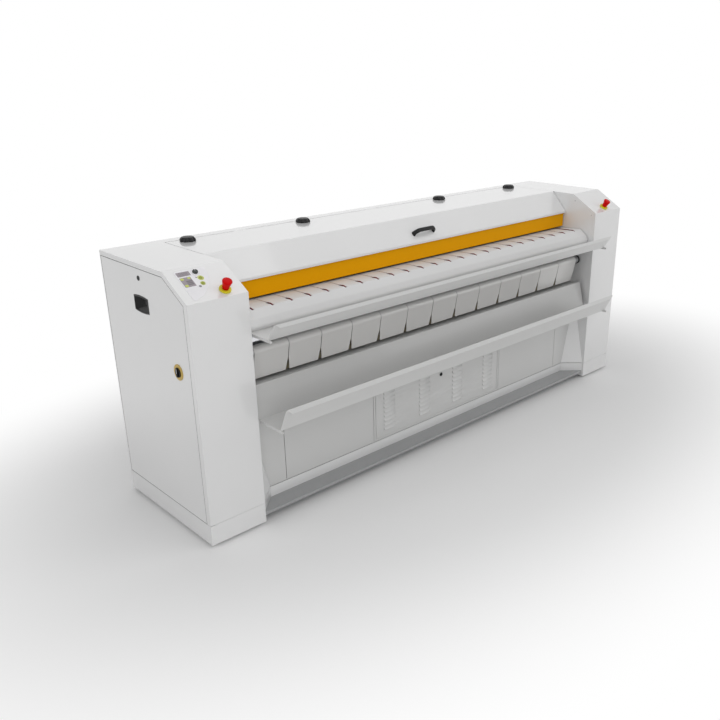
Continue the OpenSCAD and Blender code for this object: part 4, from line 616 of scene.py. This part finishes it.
# Lime rings printed round the two push buttons, each [place on the overlay, the ring's outer radius]
BUTTONS = {"start": ((0.476, 0.637), 14.0), "reverse": ((0.452, 0.484), 11.5)}
RING_IN_R, RING_LOW, RING_HIGH = 9.0, 1.0, 1.22
rings = [turned([[RING_IN_R, RING_LOW], [r, RING_LOW], [r, RING_HIGH], [RING_IN_R, RING_HIGH]],
                on_slope(*panel_point(*shares)), SLOPE_N, 36) for shares, r in BUTTONS.values()]
solid("lime_button_rings", [(ring, True) for ring in rings], LIME, "machine")

# Push buttons: a crowned cap on its stem
button_side = [[7.2, -13], [7.2, 0.6], [7.9, 0.9], [7.9, 1.7], [7.2, 2.35], [5.6, 2.55], [4.9, 2.3], [0.3, 2.2]]
for name, (shares, _) in BUTTONS.items():
    x, up = panel_point(*shares)
    solid(name + "_push_button", [turned(button_side, on_slope(x, up), SLOPE_N, 40)], GREEN, name,
          [name + "_button"], 35)


def fluted(turn, row):
    """Radius factor of the dial's 20 flutes, only on its side wall."""
    return 1 - 0.05 * (row > 0.3) * (row < 0.72) * (0.5 + 0.5 * np.cos(20 * turn))


dial_x, dial_up = panel_point(0.459, 0.819)
dial_side = [[3, -14], [3, 1.2], [11.6, 1.3], [12, 2.2], [11.8, 5.4], [11.2, 7.8], [10.2, 8.8], [8, 9], [0.3, 8.8]]
solid("fluted_speed_dial", [turned(dial_side, on_slope(dial_x, dial_up), SLOPE_N, 80, fluted)], DIAL_GREY, "dial",
      ["speed_dial"], 45)
dial_line = slab(rounded_box(1.6, 8.5, 0.7, 3), on_slope(dial_x, dial_up + 6.2), SLOPE_N, 8.4, 9.15)
solid("dial_pointer", [dial_line], FILM, "dial")

# Recessed pull: a rim with bowed long edges round a pocket of four sloping facets
PULL_Y, PULL_Z, PULL_W, PULL_H, PULL_BOW = 396.0, 1047.0, 126.0, 79.0, 5.5
PULL_DEEP, PULL_WALL, PULL_PROUD, PULL_RIM = 23.0, 1.6, 2.0, 7.4


def pull_outline(inset, count=16):
    """Outline [y, z] of the pull: straight ends, and long edges bowed outwards along a parabola."""
    share = np.linspace(-1, 1, count)
    half_w, half_h = PULL_W / 2 - inset, PULL_H / 2 - inset
    top = np.stack([share * half_w, half_h - PULL_BOW * share**2], 1)
    return np.concatenate([top, -top])


def facets(spot):
    """Depth of the pocket at [y, z]: the least of four planes, steep at the front end and gentle at the rear end."""
    y, z = spot[:, 0], spot[:, 1]
    half_w, half_h = PULL_W / 2 - 8, PULL_H / 2 - 9
    planes = np.stack([(y + half_w) * 2.6, (half_w - y) * 0.5, (half_h - z) * 0.95, (z + half_h) * 0.95])
    return np.clip(planes.min(0), 0, PULL_DEEP)


def pull_shell():
    """Closed skin of the pull: out from the middle of the cup's back to the rim, over it, and down into the pocket."""
    shrink = np.linspace(0.02, 1.0, 28)
    back, pocket = pull_outline(PULL_RIM + 2), pull_outline(PULL_RIM)
    rings = [(back * share, facets(back * share) + PULL_WALL) for share in shrink]
    rings += [(pull_outline(8.0), PULL_WALL), (pull_outline(8.0), 0.0), (pull_outline(0), 0.0),
              (pull_outline(0), -1.2), (pull_outline(0.9), -PULL_PROUD), (pull_outline(6.4), -PULL_PROUD)]
    rings += [(pocket * share, facets(pocket * share)) for share in shrink[::-1]]
    return np.stack([at(*np.column_stack([-OUTER_X + np.broadcast_to(depth, len(spot)), spot[:, 0] + PULL_Y,
                                          spot[:, 1] + PULL_Z]).ravel()) for spot, depth in rings])


solid("faceted_door_pull", [pull_shell()], BLACK_GLOSS, "side_door", ["door_pull"], 25)

# Black gasket in the seam round the left side door, sunk a little under the skin and clear of both edges; its black is
# painted shade that darkens the seam
SEAM, FRAME_FRONT, FRAME_TOP, FRAME_BACK, PANEL_FOOT = 2.4, 30.0, 23.0, 6.0, 98.0
GASKET_SUNK, GASKET_DEEP, GASKET_CLEAR = 0.4, 9.0, 0.1


def door_edge(out):
    """Outline [y, z] of the side door's opening, drawn in by a distance: foot, front, slope, top and back."""
    slope = math.atan2(CABINET_H - SLOPE_FOOT, SLOPE_D)
    front, top, back, foot = FRAME_FRONT + out, FRAME_TOP + out, FRAME_BACK + out, PANEL_FOOT + out
    knee = SLOPE_FOOT + front * math.tan(slope) - top / math.cos(slope)
    bend = (CABINET_H - top - SLOPE_FOOT + top / math.cos(slope)) / math.tan(slope)
    return np.array([[front, foot], [front, knee], [bend, CABINET_H - top], [CABINET_D - back, CABINET_H - top],
                     [CABINET_D - back, foot]])


seal = [np.column_stack([np.full(5, -OUTER_X + deep), door_edge(out)]) for deep, out in
        ((GASKET_SUNK, GASKET_CLEAR), (GASKET_SUNK, SEAM - GASKET_CLEAR), (GASKET_DEEP, SEAM - GASKET_CLEAR),
         (GASKET_DEEP, GASKET_CLEAR))]
solid("door_gasket_as_seam_shade", [(np.stack([at(*row.ravel()) for row in seal]), True)], SEAM_SHADE_BLACK, "machine")

# Main switch handle: a round hub with a flat grip bar and a pale pointer line
SWITCH_Y, SWITCH_Z, LEFTWARDS = 130.0, 803.0, (-1, 0, 0)
switch_centre = at(-OUTER_X, SWITCH_Y, SWITCH_Z)
hub_side = [[7, -20], [7, 3.4], [21.6, 3.5], [22.3, 4.2], [21.8, 6], [20, 7.2], [14, 7.0], [13, 6.4], [0.4, 6.4]]
grip_bar = slab(rounded_box(12.6, 42, 5.5, 6), switch_centre, LEFTWARDS, 6, 11.6, (0, 0, 1), 1.6)
solid("rotary_switch_handle", [turned(hub_side, switch_centre, LEFTWARDS, 48), grip_bar], BLACK, "main_switch",
      ["switch_handle"], 35)
switch_line = slab(rounded_box(3.0, 22, 1.4, 3), at(-OUTER_X, SWITCH_Y, SWITCH_Z + 7), LEFTWARDS, 11.2, 11.9)
solid("switch_pointer", [switch_line], FILM, "main_switch")

# Camera, solved from the photograph's 16 clearest corners
EYE = at(-3088.5, -2784.7, 2025.8)
YAW, PITCH = 44.93, 21.14
FOCAL_PX, CENTRE_PX, FRAME_PX = 788.4, (416.6, 368.0), 720
camera = bpy.data.objects.new("camera", bpy.data.cameras.new("camera"))
camera.data.sensor_width = 36
camera.data.lens = FOCAL_PX / FRAME_PX * camera.data.sensor_width
camera.data.shift_x = (FRAME_PX / 2 - CENTRE_PX[0]) / FRAME_PX
camera.data.shift_y = (CENTRE_PX[1] - FRAME_PX / 2) / FRAME_PX
camera.data.clip_end = 60
camera.location = EYE
camera.rotation_euler = (math.radians(90 - PITCH), 0, math.radians(-YAW))
bpy.context.scene.collection.objects.link(camera)
bpy.context.scene.camera = camera

def shown(tree):
    """1 for the rays that show the stage, straight or through a reflection or glass, and 0 for those that light it."""
    path = add(tree, "ShaderNodeLightPath").outputs
    return reckon(tree, "MAXIMUM", reckon(tree, "MAXIMUM", path["Is Camera Ray"], path["Is Glossy Ray"]),
                  path["Is Transmission Ray"])


# Floor: pale near the machine, where it keeps the shadow, and plain white further out where only the view sees it
FLOOR_HALF, FADE_FROM, FADE_TO, FADE_SCALE = 20, 1.0, 2.2, (0.6, 1.0, 1.0)
floor_mesh = bpy.data.meshes.new("floor")
floor_mesh.from_pydata([(x * FLOOR_HALF, y * FLOOR_HALF, 0) for x, y in ((-1, -1), (1, -1), (1, 1), (-1, 1))], [],
                       [(0, 1, 2, 3)])
floor = bpy.data.objects.new("floor", floor_mesh)
bpy.context.scene.collection.objects.link(floor)
floor_paint, tree, surface = material("studio_floor", **{"Base Color": srgb("#F6F6F6"), "Roughness": 0.9})
floor.data.materials.append(floor_paint)
spread = add(tree, "ShaderNodeMapping", {"Vector": add(tree, "ShaderNodeTexCoord").outputs["Object"],
                                         "Scale": FADE_SCALE})
far = add(tree, "ShaderNodeVectorMath", {0: spread.outputs["Vector"]}, operation="LENGTH")
fade = add(tree, "ShaderNodeMapRange", {"Value": far.outputs["Value"], "From Min": FADE_FROM, "From Max": FADE_TO},
           interpolation_type="SMOOTHSTEP")
white_share = reckon(tree, "MULTIPLY", fade.outputs["Result"], shown(tree))
white = add(tree, "ShaderNodeEmission", {"Color": (1, 1, 1, 1), "Strength": 1.0})
mixed = add(tree, "ShaderNodeMixShader", {0: white_share, 1: surface.outputs["BSDF"], 2: white.outputs["Emission"]})
output = next(n for n in tree.nodes if n.type == "OUTPUT_MATERIAL")
tree.links.new(mixed.outputs["Shader"], output.inputs["Surface"])

# Sky: white to look at, and a weaker white as light
WORLD_LIGHT = 0.39
world = bpy.data.worlds.new("studio")
bpy.context.scene.world = world
world.use_nodes = True
tree = world.node_tree
tree.nodes.clear()
soft, plain = [add(tree, "ShaderNodeBackground", {"Color": (1, 1, 1, 1), "Strength": strength}).outputs["Background"]
               for strength in (WORLD_LIGHT, 1.0)]
both = add(tree, "ShaderNodeMixShader", {0: shown(tree), 1: soft, 2: plain})
add(tree, "ShaderNodeOutputWorld", {"Surface": both.outputs["Shader"]})

LAMP_AIM = (0, 0, 0.6)


def lamp(name, place, size, power):
    """A soft square area lamp that looks at the machine's middle."""
    data = bpy.data.lights.new(name, "AREA")
    data.size = size
    data.energy = power
    made = bpy.data.objects.new(name, data)
    made.location = place
    made.rotation_euler = (Vector(LAMP_AIM) - Vector(place)).to_track_quat("-Z", "Y").to_euler()
    bpy.context.scene.collection.objects.link(made)


lamp("overhead", (0.0, 1.5, 4.4), 3.2, 26)
lamp("front_top", (0.0, -2.4, 4.2), 3.2, 34)
lamp("front_left", (-3.4, -4.2, 2.4), 3.0, 44)
lamp("front_right", (4.5, -4.0, 2.6), 3.0, 40)
lamp("left_side", (-6.0, 0.5, 2.4), 3.0, 25)
bpy.context.scene.view_settings.view_transform = "Standard"
